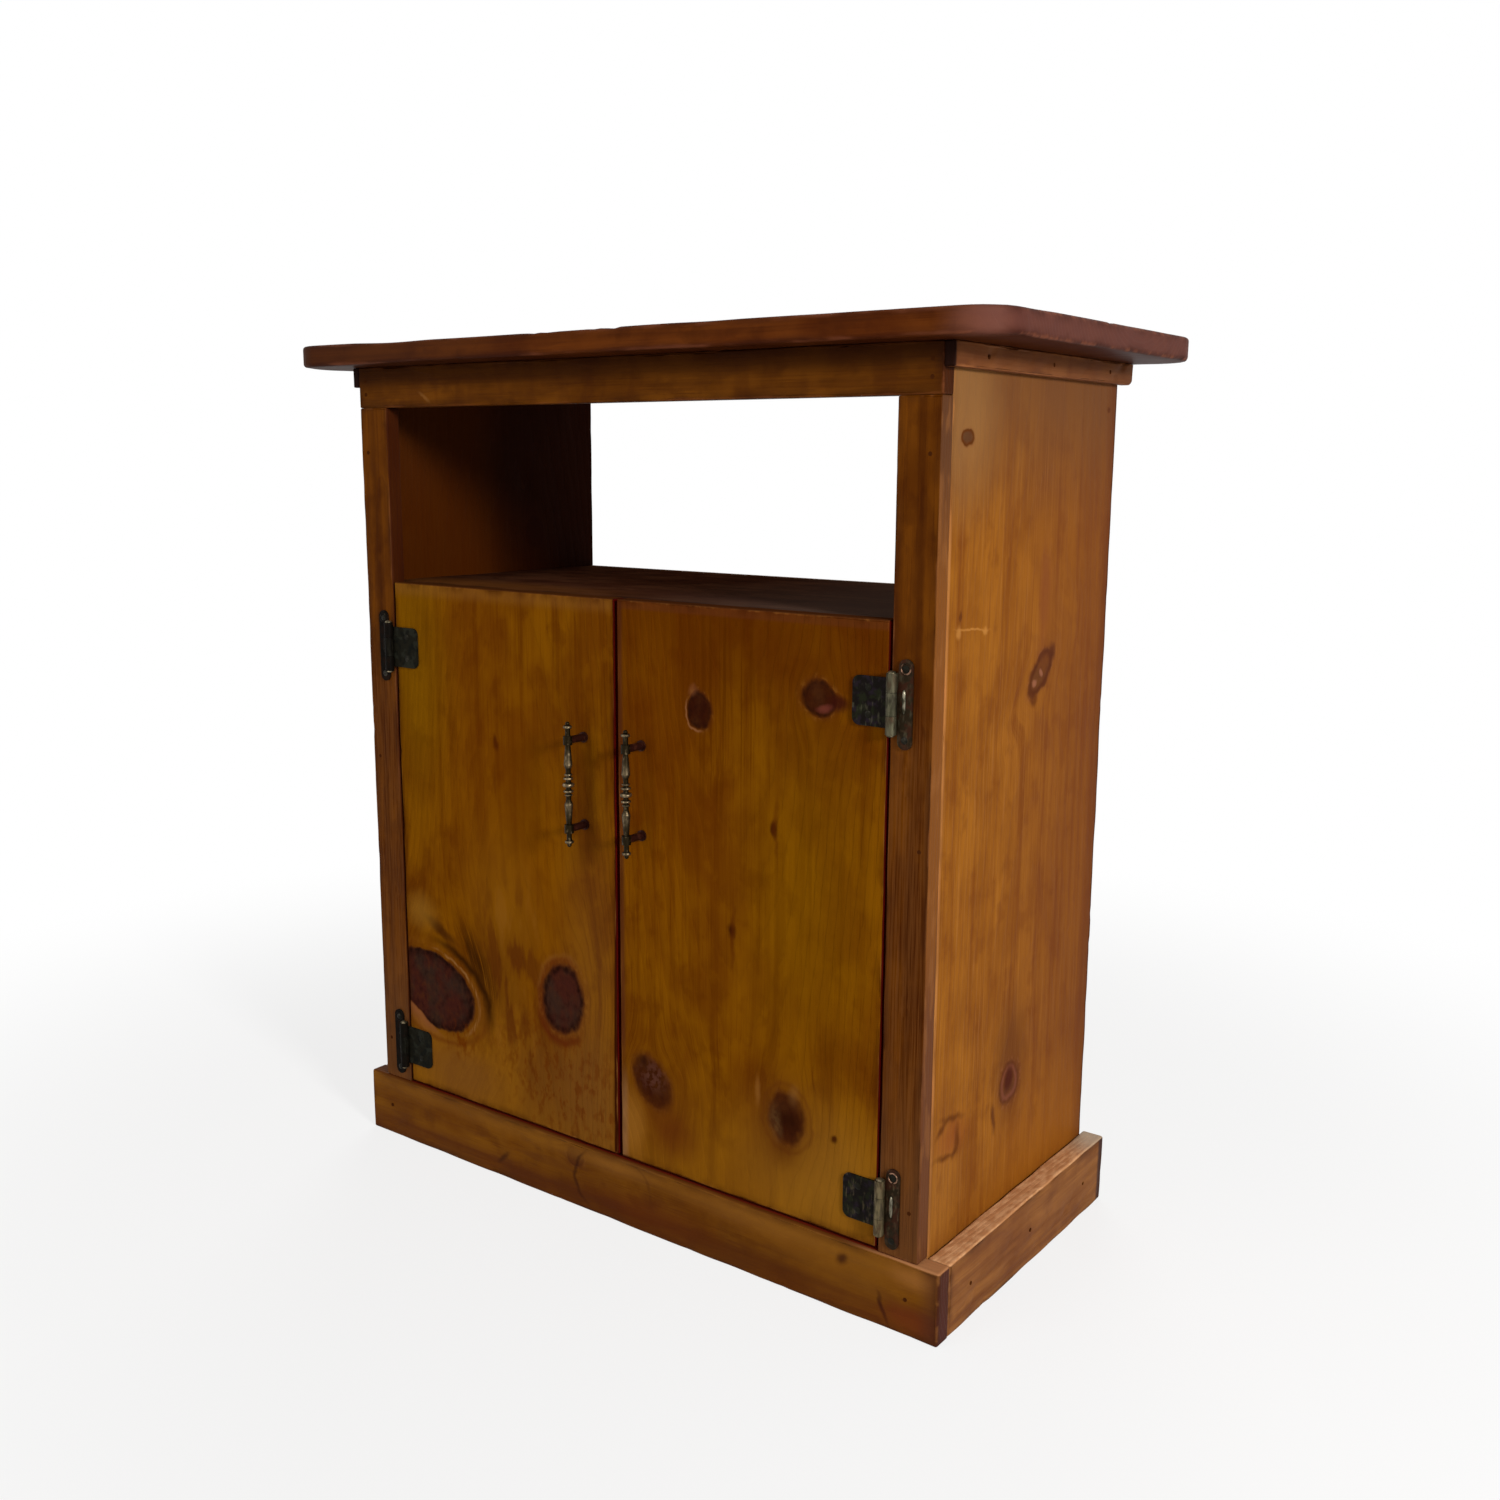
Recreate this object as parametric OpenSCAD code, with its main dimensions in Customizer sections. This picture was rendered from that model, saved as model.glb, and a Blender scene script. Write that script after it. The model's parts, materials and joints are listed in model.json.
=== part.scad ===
// Rustic pine accent cabinet: an open bay over a cupboard with two flush doors,
// under an overhanging top with rounded corners.
// The origin is on the floor, under the middle of the top. +X is to the right
// and +Y to the back, so the doors face -Y.

/* [Carcase] */
// Width across the outer edges of the two front stiles
case_w = 610; // [560:1:680]
// Depth from the face of the stiles to the back edges of the side panels
case_d = 294; // [250:1:340]
// Height from the floor to the underside of the top
case_h = 745; // [700:1:800]
// Thickness of the side panels
side_t = 18; // [15:0.5:22]
// Height of the shelf's upper face, level with the tops of the doors
shelf_z = 552; // [500:1:600]
// Thickness of the shelf
shelf_t = 18; // [15:0.5:22]
// Thickness of the bottom board
bottom_t = 18; // [15:0.5:22]
// Thickness of the panel that closes the back of the cupboard
back_t = 6; // [4:0.5:10]
// Width of the rebate along each side panel's back edge that takes the back panel
rebate_w = 9; // [6:0.5:11]

/* [Front frame] */
// Thickness of the stiles and the rail
frame_t = 15; // [13:0.5:20]
// Width of each stile
stile_w = 36; // [32:1:50]
// Height of the rail under the top
rail_h = 36; // [28:1:60]

/* [Top] */
// Thickness of the top
top_t = 19; // [16:0.5:28]
// Overhang of the top in front of the stiles
top_front = 32; // [30:1:60]
// Overhang of the top past each side
top_side = 60; // [30:1:90]
// Overhang of the top behind the side panels
top_back = 25; // [14:1:40]
// Radius of the top's corners, seen from above
top_corner_r = 34; // [15:1:60]
// Width of the bevel round the top's upper and lower edges
top_bevel = 2.5; // [1:0.5:4]

/* [Plinth] */
// Height of the plinth boards
plinth_h = 61; // [50:1:80]
// Thickness of the side plinth boards
plinth_t = 20; // [15:0.5:25]
// How far the front plinth board stands in front of the stiles
plinth_lip = 2.5; // [1:0.5:6]
// How far the side plinth boards run past the back edges of the side panels
plinth_past = 6; // [0:1:12]

/* [Mouldings and battens] */
// Thickness of the moulding strips under the ends of the top
moulding_t = 8; // [6:0.5:14]
// Height of the moulding strips
moulding_h = 17.5; // [12:0.5:24]
// How far the moulding strips run past the back edges of the side panels
moulding_past = 12; // [0:1:14]
// Width and height of the battens inside the carcase
batten_w = 18; // [14:1:22]
// Distance from a batten's end to its end screw
batten_screw_inset = 40; // [20:1:60]

/* [Doors] */
// Thickness of the doors
door_t = 15; // [13:0.5:20]
// Gap between a door and its stile
door_side_gap = 2; // [1.5:0.25:4]
// Gap between the two doors
door_meet_gap = 3.6; // [3:0.2:8]
// Gap between the doors and the plinth
door_foot_gap = 2.5; // [1.5:0.25:6]
// How far the line where the doors meet lies to the right of the middle
meet_shift = 4; // [-20:1:20]
// Gap between a closed door and the board edges that it stops against
stop_gap = 0.5; // [0.3:0.1:1.5]

/* [Hinges] */
// Distance from the doors' tops down to the middle of the upper hinges
hinge_drop = 60; // [45:1:120]
// Distance from the doors' feet up to the middle of the lower hinges
hinge_rise = 37; // [36:1:120]
// Distance from the edge of the opening out to the hinge axis, over the stile
hinge_shift = 3; // [2:0.5:5]
// Thickness of the hinge leaves
leaf_t = 1.5; // [1:0.1:2]
// Height of the leaf on the door
door_leaf_h = 37; // [32:1:44]
// Width of the leaf on the door, from the hinge axis
door_leaf_w = 35; // [28:1:44]
// Radius of the outer corners of the leaf on the door
door_leaf_r = 6; // [3:0.5:10]
// Height of the leaf on the stile
frame_leaf_h = 66; // [60:1:80]
// Width of the leaf on the stile, beside the barrel
frame_leaf_w = 12; // [10:0.5:14]
// Height of the barrel
barrel_h = 45; // [40:1:52]
// Radius of the barrel
barrel_r = 4; // [3.5:0.1:4.5]
// Height of the middle knuckle, which is the door's
middle_knuckle_h = 17; // [12:1:24]
// Radius of the hinge pins
pin_r = 1.7; // [1.2:0.1:2.2]
// Radius of the button at each end of a pin
pin_button_r = 3; // [2.5:0.1:3.4]

/* [Handles] */
// Distance from the middle of the cabinet to each handle
handle_x = 32; // [24:1:60]
// Height of the middle of the handles above the floor
handle_z = 395; // [300:1:450]
// Distance between the two posts of a handle
post_pitch = 76; // [64:1:96]
// Distance from the door's face to the axis of the turned bar
bar_out = 20; // [17:0.5:24]
// Radius of the posts
post_r = 3.2; // [2.8:0.1:4]
// Radius of the foot of each post
post_foot_r = 4.6; // [4:0.1:7]
// Length of the bar past each post
bar_tail = 16; // [14:0.5:24]
// Radius of the plain neck of the bar
bar_neck_r = 2.2; // [1.8:0.1:2.6]
// Radius of the bar's central bead
bar_bead_r = 5; // [4.4:0.1:6]
// Radius of the sleeve of the bar where a post holds it
bar_sleeve_r = 3.9; // [3.4:0.1:4.4]
// Radius of the swell at the inner end of each arm of the bar
bar_swell_r = 3.6; // [3:0.1:4.2]
// Radius of the bead on each tail of the bar
tail_bead_r = 3.8; // [3:0.1:4.4]
// Radius of the small ball at each tip of the bar
tip_r = 1.9; // [1.5:0.1:2.2]

/* [Catches] */
// Width of each magnetic catch under the shelf
catch_w = 44; // [36:1:60]
// Height of each catch
catch_h = 13; // [10:0.5:18]
// Depth of each catch
catch_d = 14; // [12:0.5:20]
// Distance from the line where the doors meet to the middle of each catch
catch_x = 60; // [45:1:90]
// Thickness of the steel strike plate on each door
strike_t = 1.2; // [1:0.1:1.8]
// Air between a closed door's strike plate and the catch
strike_gap = 0.3; // [0.2:0.1:0.6]

/* [Fixings] */
// Shank radius of the small screws that hold hinges, catches and strike plates
screw_r = 1.4; // [1:0.1:1.8]
// Head radius of the small screws
screw_head_r = 2.8; // [2.4:0.1:3.2]
// Head height of the small screws
screw_head_h = 1; // [0.8:0.1:1.4]
// Depth that the small screws reach into the wood
screw_bite = 10; // [7:0.5:11]
// Shank radius of the batten screws and handle screws
bolt_r = 2; // [1.5:0.1:2.2]
// Head radius of the batten screws and handle screws
bolt_head_r = 4; // [3.6:0.1:5]
// Head height of the batten screws and handle screws
bolt_head_h = 2.2; // [1.8:0.1:3]
// Wood left between fixings that are driven into a side panel from its two faces
side_wood = 1; // [0.5:0.5:3]
// Depth that a batten's screw reaches up into the top
top_bite = 11; // [8:0.5:13]
// Depth that a handle screw reaches into its post
post_bite = 8; // [6:0.5:11]
// Clearance round a screw where it passes through a leaf or a door
screw_clearance = 0.2; // [0.1:0.05:0.4]
// Shank radius of the finishing nails
nail_r = 1; // [0.8:0.1:1.3]
// Head radius of the finishing nails
nail_head_r = 1.6; // [1.4:0.1:2]
// Depth that a nail into a board's edge reaches
edge_bite = 24; // [16:1:30]
// Height of the flat heads of the nails in the back panel
back_nail_head_h = 0.8; // [0.6:0.1:1.2]
// Distance from a stile's ends to its end nails
stile_nail_inset = 40; // [20:1:60]
// Distance from the ends of a side panel to the end nails of its plinth board and moulding
side_nail_inset = 35; // [20:1:60]
// Distance from the shelf and the bottom board to the end nails of the back panel's sides
back_nail_inset = 60; // [30:1:90]

/* [Hidden] */
$fn = 48;

// Overlap by which a cutting shape passes the face that it cuts
past = 1;
// Bevel along the edges of the boards
board_bevel = 1;
// Running clearance between the door's knuckle and the pin
pin_clearance = 0.05;
// Gap between knuckles, and between a leaf and the other leaf's knuckles
knuckle_gap = 0.3;
// Gap between the barrel and the faces behind it
barrel_gap = 0.3;
// Height of each pin's button
pin_button_h = 2;
// Thickness of the foot of each post
post_foot_t = 1.6;
// Distance from a leaf's end, edge or corner to its screw
leaf_screw_inset = 7;
// Distance from a door leaf's outer edge to its screws
door_leaf_screw_inset = 14;
// Half the distance between the two screws of a door leaf
door_leaf_screw_dz = 10;
// How far a sleeve of the turned bar shows past each side of its post
sleeve_past = 0.5;
// How much smaller than the bar's central bead its three beads are, and how round
bead_drops = [0, 0.8, 1.6];
bead_rounds = [1.8, 1.1, 0.9];
// Distance from the start of an arm to its swell, from the tail's bead to the tip,
// and how round the tail's bead is
arm_shoulder = 4;
tip_rise = 2.7;
tail_bead_round = 1.5;
// How far the poles stand out of a catch's case, and how far the case runs past their ends
pole_out = 1;
pole_inset = 7;
// How much lower than its catch each strike plate is, and its corner radius
strike_drop = 2;
strike_r = 2;
// Head height of the flush screws in the strike plates
flush_head_h = 0.2;

// Depth of the top, and the planes that the rest is set out from
top_d = top_front + case_d + top_back;
face_y = top_front - top_d / 2;
inner_y = face_y + frame_t;
back_y = face_y + case_d;
panel_y = back_y - back_t;
half_w = case_w / 2;
inside_x = half_w - side_t;
opening_x = half_w - stile_w;
rail_z = case_h - rail_h;

// Doors: their hinge-side edges, their heights, and the boards that stop them
door_edge_x = opening_x - door_side_gap;
door_z0 = plinth_h + door_foot_gap;
door_z1 = shelf_z;
door_back_y = face_y + door_t;
stop_y = max(inner_y, door_back_y) + stop_gap;
bottom_z = plinth_h + bottom_t;

// Hinges: the axis, and the middle height of each
axis_x = opening_x + hinge_shift;
axis_out = barrel_r + barrel_gap;
axis_y = face_y - axis_out;
upper_hinge_z = door_z1 - hinge_drop;
lower_hinge_z = door_z0 + hinge_rise;
leaf_strip_x = barrel_r + frame_leaf_w / 2;
frame_screw_dz = frame_leaf_h / 2 - leaf_screw_inset;
door_screw_x = door_leaf_w - door_leaf_screw_inset;

// Handles
bar_y = face_y - bar_out;
sleeve_h = 2 * (post_r + sleeve_past);
bead_z = [0, 1.1, 1.75] * bar_bead_r;

// Catches
catch_y = door_back_y + strike_t + strike_gap;
catch_z = shelf_z - shelf_t - catch_h;
strike_w = catch_w - 2 * pole_inset;
strike_h = catch_h - strike_drop;

// Side battens run between the doors' stops and the back panel
batten_len = panel_y - stop_y;
rear_batten_x = inside_x - batten_w;

// Nails and screws line up with the boards they hold
side_edge_x = half_w - side_t / 2;
side_bite = (side_t - side_wood) / 2;
stile_nail_z = [plinth_h + stile_nail_inset, (plinth_h + rail_z) / 2, rail_z - stile_nail_inset];
rail_nail_z = [rail_z + rail_h / 3, rail_z + rail_h * 2 / 3];
plinth_nail_z = plinth_h / 2;
side_nail_y = [inner_y + side_nail_inset, (inner_y + back_y) / 2, back_y - side_nail_inset];
back_nail_x = [-inside_x / 2, 0, inside_x / 2];
back_nail_z = [bottom_z + back_nail_inset, (bottom_z + shelf_z) / 2, shelf_z - back_nail_inset];

// Colours of the finishes
door_pine = [0.50, 0.32, 0.07];
side_pine = [0.56, 0.34, 0.14];
frame_pine = [0.36, 0.18, 0.08];
plinth_pine = [0.46, 0.27, 0.11];
top_pine = [0.37, 0.19, 0.10];
shelf_pine = [0.25, 0.15, 0.09];
batten_pine = [0.60, 0.44, 0.26];
back_ply = [0.45, 0.31, 0.18];
aged_bronze = [0.22, 0.20, 0.16];
worn_brass = [0.50, 0.46, 0.36];
dark_iron = [0.20, 0.11, 0.09];
steel = [0.60, 0.60, 0.58];
catch_brown = [0.25, 0.17, 0.11];

// A board from its lowest corner, with its four long edges bevelled.
// The long direction is "x", "y" or "z".
module board(corner, size, long, bevel = board_bevel) {
    translate(corner)
        if (long == "x")
            rotate([90, 0, 90]) linear_extrude(size.x) bevelled(size.y, size.z, bevel);
        else if (long == "y")
            translate([0, size.y, 0])
                rotate([90, 0, 0]) linear_extrude(size.y) bevelled(size.x, size.z, bevel);
        else
            linear_extrude(size.z) bevelled(size.x, size.y, bevel);
}

// A rectangle with its corners cut at 45 degrees
module bevelled(w, h, b) {
    polygon([[b, 0], [w - b, 0], [w, b], [w, h - b], [w - b, h], [b, h], [0, h - b], [0, b]]);
}

// A rectangle with its middle at the origin and round corners
module rounded(w, h, r) {
    square([w - 2 * r, h], center = true);
    square([w, h - 2 * r], center = true);
    for (x = [-1, 1], y = [-1, 1])
        translate([x * (w / 2 - r), y * (h / 2 - r)]) circle(r);
}

// A strip with its middle at the origin and half-round ends
module round_ended(w, h) {
    square([w, h - w], center = true);
    for (y = [-1, 1])
        translate([0, y * (h - w) / 2]) circle(w / 2);
}

// Draws its children on the right, or mirrored on the left
module on_side(left) {
    if (left)
        mirror([1, 0, 0]) children();
    else
        children();
}

// A screw driven along -Z, with the underside of its head at the origin
module screw(r, head_r, head_h, length) {
    translate([0, 0, -length]) cylinder(r = r, h = length);
    intersection() {
        cylinder(r = head_r, h = head_h);
        translate([0, 0, head_h - head_r * 2]) sphere(head_r * 2);
    }
}

// A finishing nail driven along -Z, its head flush with the surface
module nail(length) {
    translate([0, 0, -length]) cylinder(r = nail_r, h = length);
    translate([0, 0, -nail_head_r]) cylinder(r = nail_head_r, h = nail_head_r);
}

// A nail with a flat head, driven along -Z
module flat_nail(length) {
    translate([0, 0, -length]) cylinder(r = nail_r, h = length);
    cylinder(r = 2 * nail_r, h = back_nail_head_h);
}

// Turns of a fixing driven from the front, the back and from outside on the right
module from_front() { rotate([90, 0, 0]) children(); }
module from_back() { rotate([-90, 0, 0]) children(); }
module from_right() { rotate([0, 90, 0]) children(); }
module from_inside() { rotate([0, -90, 0]) children(); }
module from_below() { rotate([180, 0, 0]) children(); }

// All the finishing nails: frame, plinth and mouldings
module finish_nail_set() {
    for (left = [false, true]) on_side(left) {
        for (z = stile_nail_z)
            translate([side_edge_x, face_y, z]) from_front() nail(frame_t + edge_bite);
        for (z = rail_nail_z)
            translate([side_edge_x, face_y, z]) from_front() nail(frame_t + edge_bite);
        translate([side_edge_x, face_y - plinth_lip, plinth_nail_z])
            from_front() nail(frame_t + plinth_lip + edge_bite);
        for (y = side_nail_y) {
            translate([half_w + plinth_t, y, plinth_nail_z])
                from_right() nail(plinth_t + side_bite);
            translate([half_w + moulding_t, y, case_h - moulding_h / 2])
                from_right() nail(moulding_t + side_bite);
        }
    }
}

// The flat-headed nails of the back panel, into the sides, shelf and bottom board
module back_nail_set() {
    for (left = [false, true]) on_side(left)
        for (z = back_nail_z)
            translate([inside_x + rebate_w / 2, back_y, z]) from_back() flat_nail(back_t + edge_bite);
    for (x = back_nail_x, z = [shelf_z - shelf_t / 2, bottom_z - bottom_t / 2])
        translate([x, back_y, z]) from_back() flat_nail(back_t + edge_bite);
}

// The screws of all the battens: into the sides, and up into the top
module batten_screw_set() {
    for (left = [false, true]) on_side(left)
        for (y = [stop_y + batten_screw_inset, panel_y - batten_screw_inset]) {
            for (z = [shelf_z - shelf_t - batten_w / 2, bottom_z - bottom_t - batten_w / 2])
                translate([inside_x - batten_w, y, z])
                    from_inside() screw(bolt_r, bolt_head_r, bolt_head_h, batten_w + side_bite);
            translate([inside_x - batten_w / 2, y + 3 * bolt_r, case_h - batten_w])
                from_below() screw(bolt_r, bolt_head_r, bolt_head_h, batten_w + top_bite);
            translate([inside_x - batten_w, y - 3 * bolt_r, case_h - batten_w / 2])
                from_inside() screw(bolt_r, bolt_head_r, bolt_head_h, batten_w + side_bite);
        }
    for (x = back_nail_x)
        translate([x, back_y - batten_w / 2, case_h - batten_w])
            from_below() screw(bolt_r, bolt_head_r, bolt_head_h, batten_w + top_bite);
}

// A small screw driven from the front through a plate of the thickness given
module small_screw(plate_t) {
    screw(screw_r, screw_head_r, screw_head_h, plate_t + screw_bite);
}

// The small screws of the frame: hinge leaves on the stiles, and catches
module frame_screw_set() {
    for (left = [false, true]) on_side(left)
        for (z = [upper_hinge_z, lower_hinge_z], dz = [-frame_screw_dz, frame_screw_dz])
            translate([axis_x + leaf_strip_x, face_y - leaf_t, z + dz])
                from_front() small_screw(leaf_t);
    for (side = [-1, 1], dx = [-1, 1])
        translate([meet_shift + side * catch_x + dx * (catch_w / 2 - leaf_screw_inset),
                catch_y + catch_d / 2, catch_z])
            from_below() small_screw(catch_h);
}

// The small screws of one door: hinge leaves, and the strike plate
module door_screw_set(left) {
    on_side(left)
        for (z = [upper_hinge_z, lower_hinge_z], dz = [-door_leaf_screw_dz, door_leaf_screw_dz])
            translate([axis_x - door_screw_x, face_y - leaf_t, z + dz])
                from_front() small_screw(leaf_t);
    translate([catch_middle(left), door_back_y + strike_t, catch_z + catch_h / 2])
        from_back() screw(screw_r, screw_head_r, flush_head_h, strike_t + screw_bite);
}

// Middle of a catch and of its strike plate
function catch_middle(left) = meet_shift + (left ? -1 : 1) * catch_x;

// The two machine screws of one handle, driven from inside the door
module handle_screw_set() {
    for (dz = [-post_pitch / 2, post_pitch / 2])
        translate([0, door_back_y, handle_z + dz])
            from_back() screw(bolt_r, bolt_head_r, bolt_head_h, door_t + post_bite);
}

// Moves its children to one of the two handles
module at_handle(left) {
    translate([left ? -handle_x : handle_x, 0, 0]) children();
}

module top() {
    w = case_w + 2 * top_side;
    color(top_pine)
        difference() {
            intersection() {
                translate([0, 0, case_h]) linear_extrude(top_t) rounded(w, top_d, top_corner_r);
                board([-w / 2, -top_d / 2, case_h], [w, top_d, top_t], "x", top_bevel);
                board([-w / 2, -top_d / 2, case_h], [w, top_d, top_t], "y", top_bevel);
            }
            batten_screw_set();
        }
}

module front_rail() {
    color(frame_pine)
        difference() {
            board([-half_w, face_y, rail_z], [case_w, frame_t, rail_h], "x");
            finish_nail_set();
        }
}

module stile(left) {
    difference() {
        on_side(left)
            board([opening_x, face_y, plinth_h], [stile_w, frame_t, rail_z - plinth_h], "z");
        finish_nail_set();
        frame_screw_set();
    }
}

module left_stile() { color(frame_pine) stile(true); }
module right_stile() { color(frame_pine) stile(false); }

// A side panel, with the rebate behind the cupboard
module side_panel(left) {
    difference() {
        on_side(left)
            board([inside_x, inner_y, 0], [side_t, back_y - inner_y, case_h], "z");
        on_side(left)
            translate([inside_x - past, panel_y, -past])
                cube([rebate_w + past, back_t + past, shelf_z + past]);
        finish_nail_set();
        back_nail_set();
        batten_screw_set();
        frame_screw_set();
    }
}

module left_side() { color(side_pine) side_panel(true); }
module right_side() { color(side_pine) side_panel(false); }

module shelf() {
    color(shelf_pine)
        difference() {
            board([-inside_x, stop_y, shelf_z - shelf_t],
                [2 * inside_x, panel_y - stop_y, shelf_t], "x");
            back_nail_set();
            frame_screw_set();
        }
}

module bottom_board() {
    color(shelf_pine)
        difference() {
            board([-inside_x, stop_y, bottom_z - bottom_t],
                [2 * inside_x, panel_y - stop_y, bottom_t], "x");
            back_nail_set();
        }
}

module back_panel() {
    w = 2 * (inside_x + rebate_w);
    color(back_ply)
        difference() {
            translate([-w / 2, panel_y, 0]) cube([w, back_t, shelf_z]);
            back_nail_set();
        }
}

module plinth_front() {
    w = case_w + 2 * plinth_t;
    color(plinth_pine)
        difference() {
            board([-w / 2, face_y - plinth_lip, 0], [w, frame_t + plinth_lip, plinth_h], "x");
            finish_nail_set();
        }
}

module plinth_side(left) {
    difference() {
        on_side(left)
            board([half_w, inner_y, 0], [plinth_t, back_y + plinth_past - inner_y, plinth_h], "y");
        finish_nail_set();
    }
}

module plinth_left() { color(plinth_pine) plinth_side(true); }
module plinth_right() { color(plinth_pine) plinth_side(false); }

module moulding(left) {
    difference() {
        on_side(left)
            board([half_w, face_y, case_h - moulding_h],
                [moulding_t, case_d + moulding_past, moulding_h], "y");
        finish_nail_set();
    }
}

module left_moulding() { color(side_pine) moulding(true); }
module right_moulding() { color(side_pine) moulding(false); }

// A batten along a side panel, under the height given
module side_batten(left, under_z) {
    difference() {
        on_side(left)
            board([inside_x - batten_w, stop_y, under_z - batten_w],
                [batten_w, batten_len, batten_w], "y");
        batten_screw_set();
    }
}

module left_shelf_batten() { color(batten_pine) side_batten(true, shelf_z - shelf_t); }
module right_shelf_batten() { color(batten_pine) side_batten(false, shelf_z - shelf_t); }
module left_bottom_batten() { color(batten_pine) side_batten(true, bottom_z - bottom_t); }
module right_bottom_batten() { color(batten_pine) side_batten(false, bottom_z - bottom_t); }
module left_top_batten() { color(batten_pine) side_batten(true, case_h); }
module right_top_batten() { color(batten_pine) side_batten(false, case_h); }

module rear_top_batten() {
    color(batten_pine)
        difference() {
            board([-rear_batten_x, back_y - batten_w, case_h - batten_w],
                [2 * rear_batten_x, batten_w, batten_w], "x");
            batten_screw_set();
        }
}

// Moves its children, drawn on the hinge axis, to a hinge
module at_hinge(left, z) {
    on_side(left) translate([axis_x, axis_y, z]) children();
}

// A length of barrel on the hinge axis, with its bore
module knuckle(z0, z1, bore_r) {
    translate([0, 0, z0])
        difference() {
            cylinder(r = barrel_r, h = z1 - z0);
            translate([0, 0, -past]) cylinder(r = bore_r, h = z1 - z0 + 2 * past);
        }
}

// Room that one leaf leaves round the knuckles of the other
module knuckle_room(z0, z1) {
    translate([0, 0, z0 - knuckle_gap])
        cylinder(r = barrel_r + knuckle_gap, h = z1 - z0 + 2 * knuckle_gap);
}

// The tall narrow leaf on the stile, with the two outer knuckles
module frame_leaf() {
    middle = middle_knuckle_h / 2;
    difference() {
        union() {
            translate([leaf_strip_x, axis_out, 0])
                rotate([90, 0, 0]) linear_extrude(leaf_t)
                    round_ended(frame_leaf_w, frame_leaf_h);
            translate([0, axis_out - leaf_t, -barrel_h / 2]) cube([leaf_strip_x, leaf_t, barrel_h]);
            for (side = [0, 1]) mirror([0, 0, side])
                translate([0, 0, middle]) cylinder(r = barrel_r, h = barrel_h / 2 - middle);
        }
        knuckle_room(-middle, middle);
        translate([0, 0, -barrel_h / 2 - past]) cylinder(r = pin_r, h = barrel_h + 2 * past);
        for (dz = [-frame_screw_dz, frame_screw_dz])
            translate([leaf_strip_x, axis_out + past, dz])
                rotate([90, 0, 0]) cylinder(r = screw_r + screw_clearance, h = leaf_t + 2 * past);
    }
}

// The square leaf on the door, with the middle knuckle
module door_leaf() {
    middle = middle_knuckle_h / 2;
    union() {
        difference() {
            translate([0, axis_out, 0])
                rotate([90, 0, 0]) linear_extrude(leaf_t) door_leaf_outline();
            for (side = [0, 1]) mirror([0, 0, side])
                translate([0, 0, middle])
                    cylinder(r = barrel_r + knuckle_gap, h = barrel_h);
            for (dz = [-door_leaf_screw_dz, door_leaf_screw_dz])
                translate([-door_screw_x, axis_out + past, dz])
                    rotate([90, 0, 0]) cylinder(r = screw_r + screw_clearance, h = leaf_t + 2 * past);
        }
        knuckle(-middle, middle, pin_r + pin_clearance);
    }
}

// Outline of the door's leaf, rounded only at its two outer corners
module door_leaf_outline() {
    translate([-door_leaf_w / 2, 0]) rounded(door_leaf_w, door_leaf_h, door_leaf_r);
    translate([-door_leaf_w / 2, -door_leaf_h / 2]) square([door_leaf_w / 2, door_leaf_h]);
}

// The pin, with a button at each end of the barrel
module hinge_pin() {
    translate([0, 0, -barrel_h / 2]) cylinder(r = pin_r, h = barrel_h);
    for (side = [0, 1]) mirror([0, 0, side])
        translate([0, 0, barrel_h / 2])
            intersection() {
                cylinder(r = pin_button_r, h = pin_button_h);
                translate([0, 0, pin_button_h - 1.5 * pin_button_r]) sphere(1.5 * pin_button_r);
            }
}

module left_upper_frame_leaf() { color(aged_bronze) at_hinge(true, upper_hinge_z) frame_leaf(); }
module left_lower_frame_leaf() { color(aged_bronze) at_hinge(true, lower_hinge_z) frame_leaf(); }
module right_upper_frame_leaf() { color(aged_bronze) at_hinge(false, upper_hinge_z) frame_leaf(); }
module right_lower_frame_leaf() { color(aged_bronze) at_hinge(false, lower_hinge_z) frame_leaf(); }
module left_upper_pin() { color(worn_brass) at_hinge(true, upper_hinge_z) hinge_pin(); }
module left_lower_pin() { color(worn_brass) at_hinge(true, lower_hinge_z) hinge_pin(); }
module right_upper_pin() { color(worn_brass) at_hinge(false, upper_hinge_z) hinge_pin(); }
module right_lower_pin() { color(worn_brass) at_hinge(false, lower_hinge_z) hinge_pin(); }
module left_upper_door_leaf() { color(aged_bronze) at_hinge(true, upper_hinge_z) door_leaf(); }
module left_lower_door_leaf() { color(aged_bronze) at_hinge(true, lower_hinge_z) door_leaf(); }
module right_upper_door_leaf() { color(aged_bronze) at_hinge(false, upper_hinge_z) door_leaf(); }
module right_lower_door_leaf() { color(aged_bronze) at_hinge(false, lower_hinge_z) door_leaf(); }

module frame_screws() { color(steel) frame_screw_set(); }
module batten_screws() { color(steel) batten_screw_set(); }
module finish_nails() { color(dark_iron) finish_nail_set(); }
module back_nails() { color(steel) back_nail_set(); }

// A magnetic catch: a moulded case with two steel poles in its front
module catch(left) {
    difference() {
        union() {
            board([catch_middle(left) - catch_w / 2, catch_y + pole_out, catch_z],
                [catch_w, catch_d - pole_out, catch_h], "x");
            for (z = [catch_h / 4, catch_h * 5 / 8])
                translate([catch_middle(left) - strike_w / 2, catch_y, catch_z + z])
                    cube([strike_w, catch_d / 2, catch_h / 8]);
        }
        frame_screw_set();
    }
}

module left_catch() { color(catch_brown) catch(true); }
module right_catch() { color(catch_brown) catch(false); }

// The steel plate that a catch holds, on the back of a door
module strike(left) {
    difference() {
        translate([catch_middle(left), door_back_y, catch_z + catch_h / 2])
            rotate([-90, 0, 0]) linear_extrude(strike_t) rounded(strike_w, strike_h, strike_r);
        door_screw_set(left);
    }
}

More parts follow.
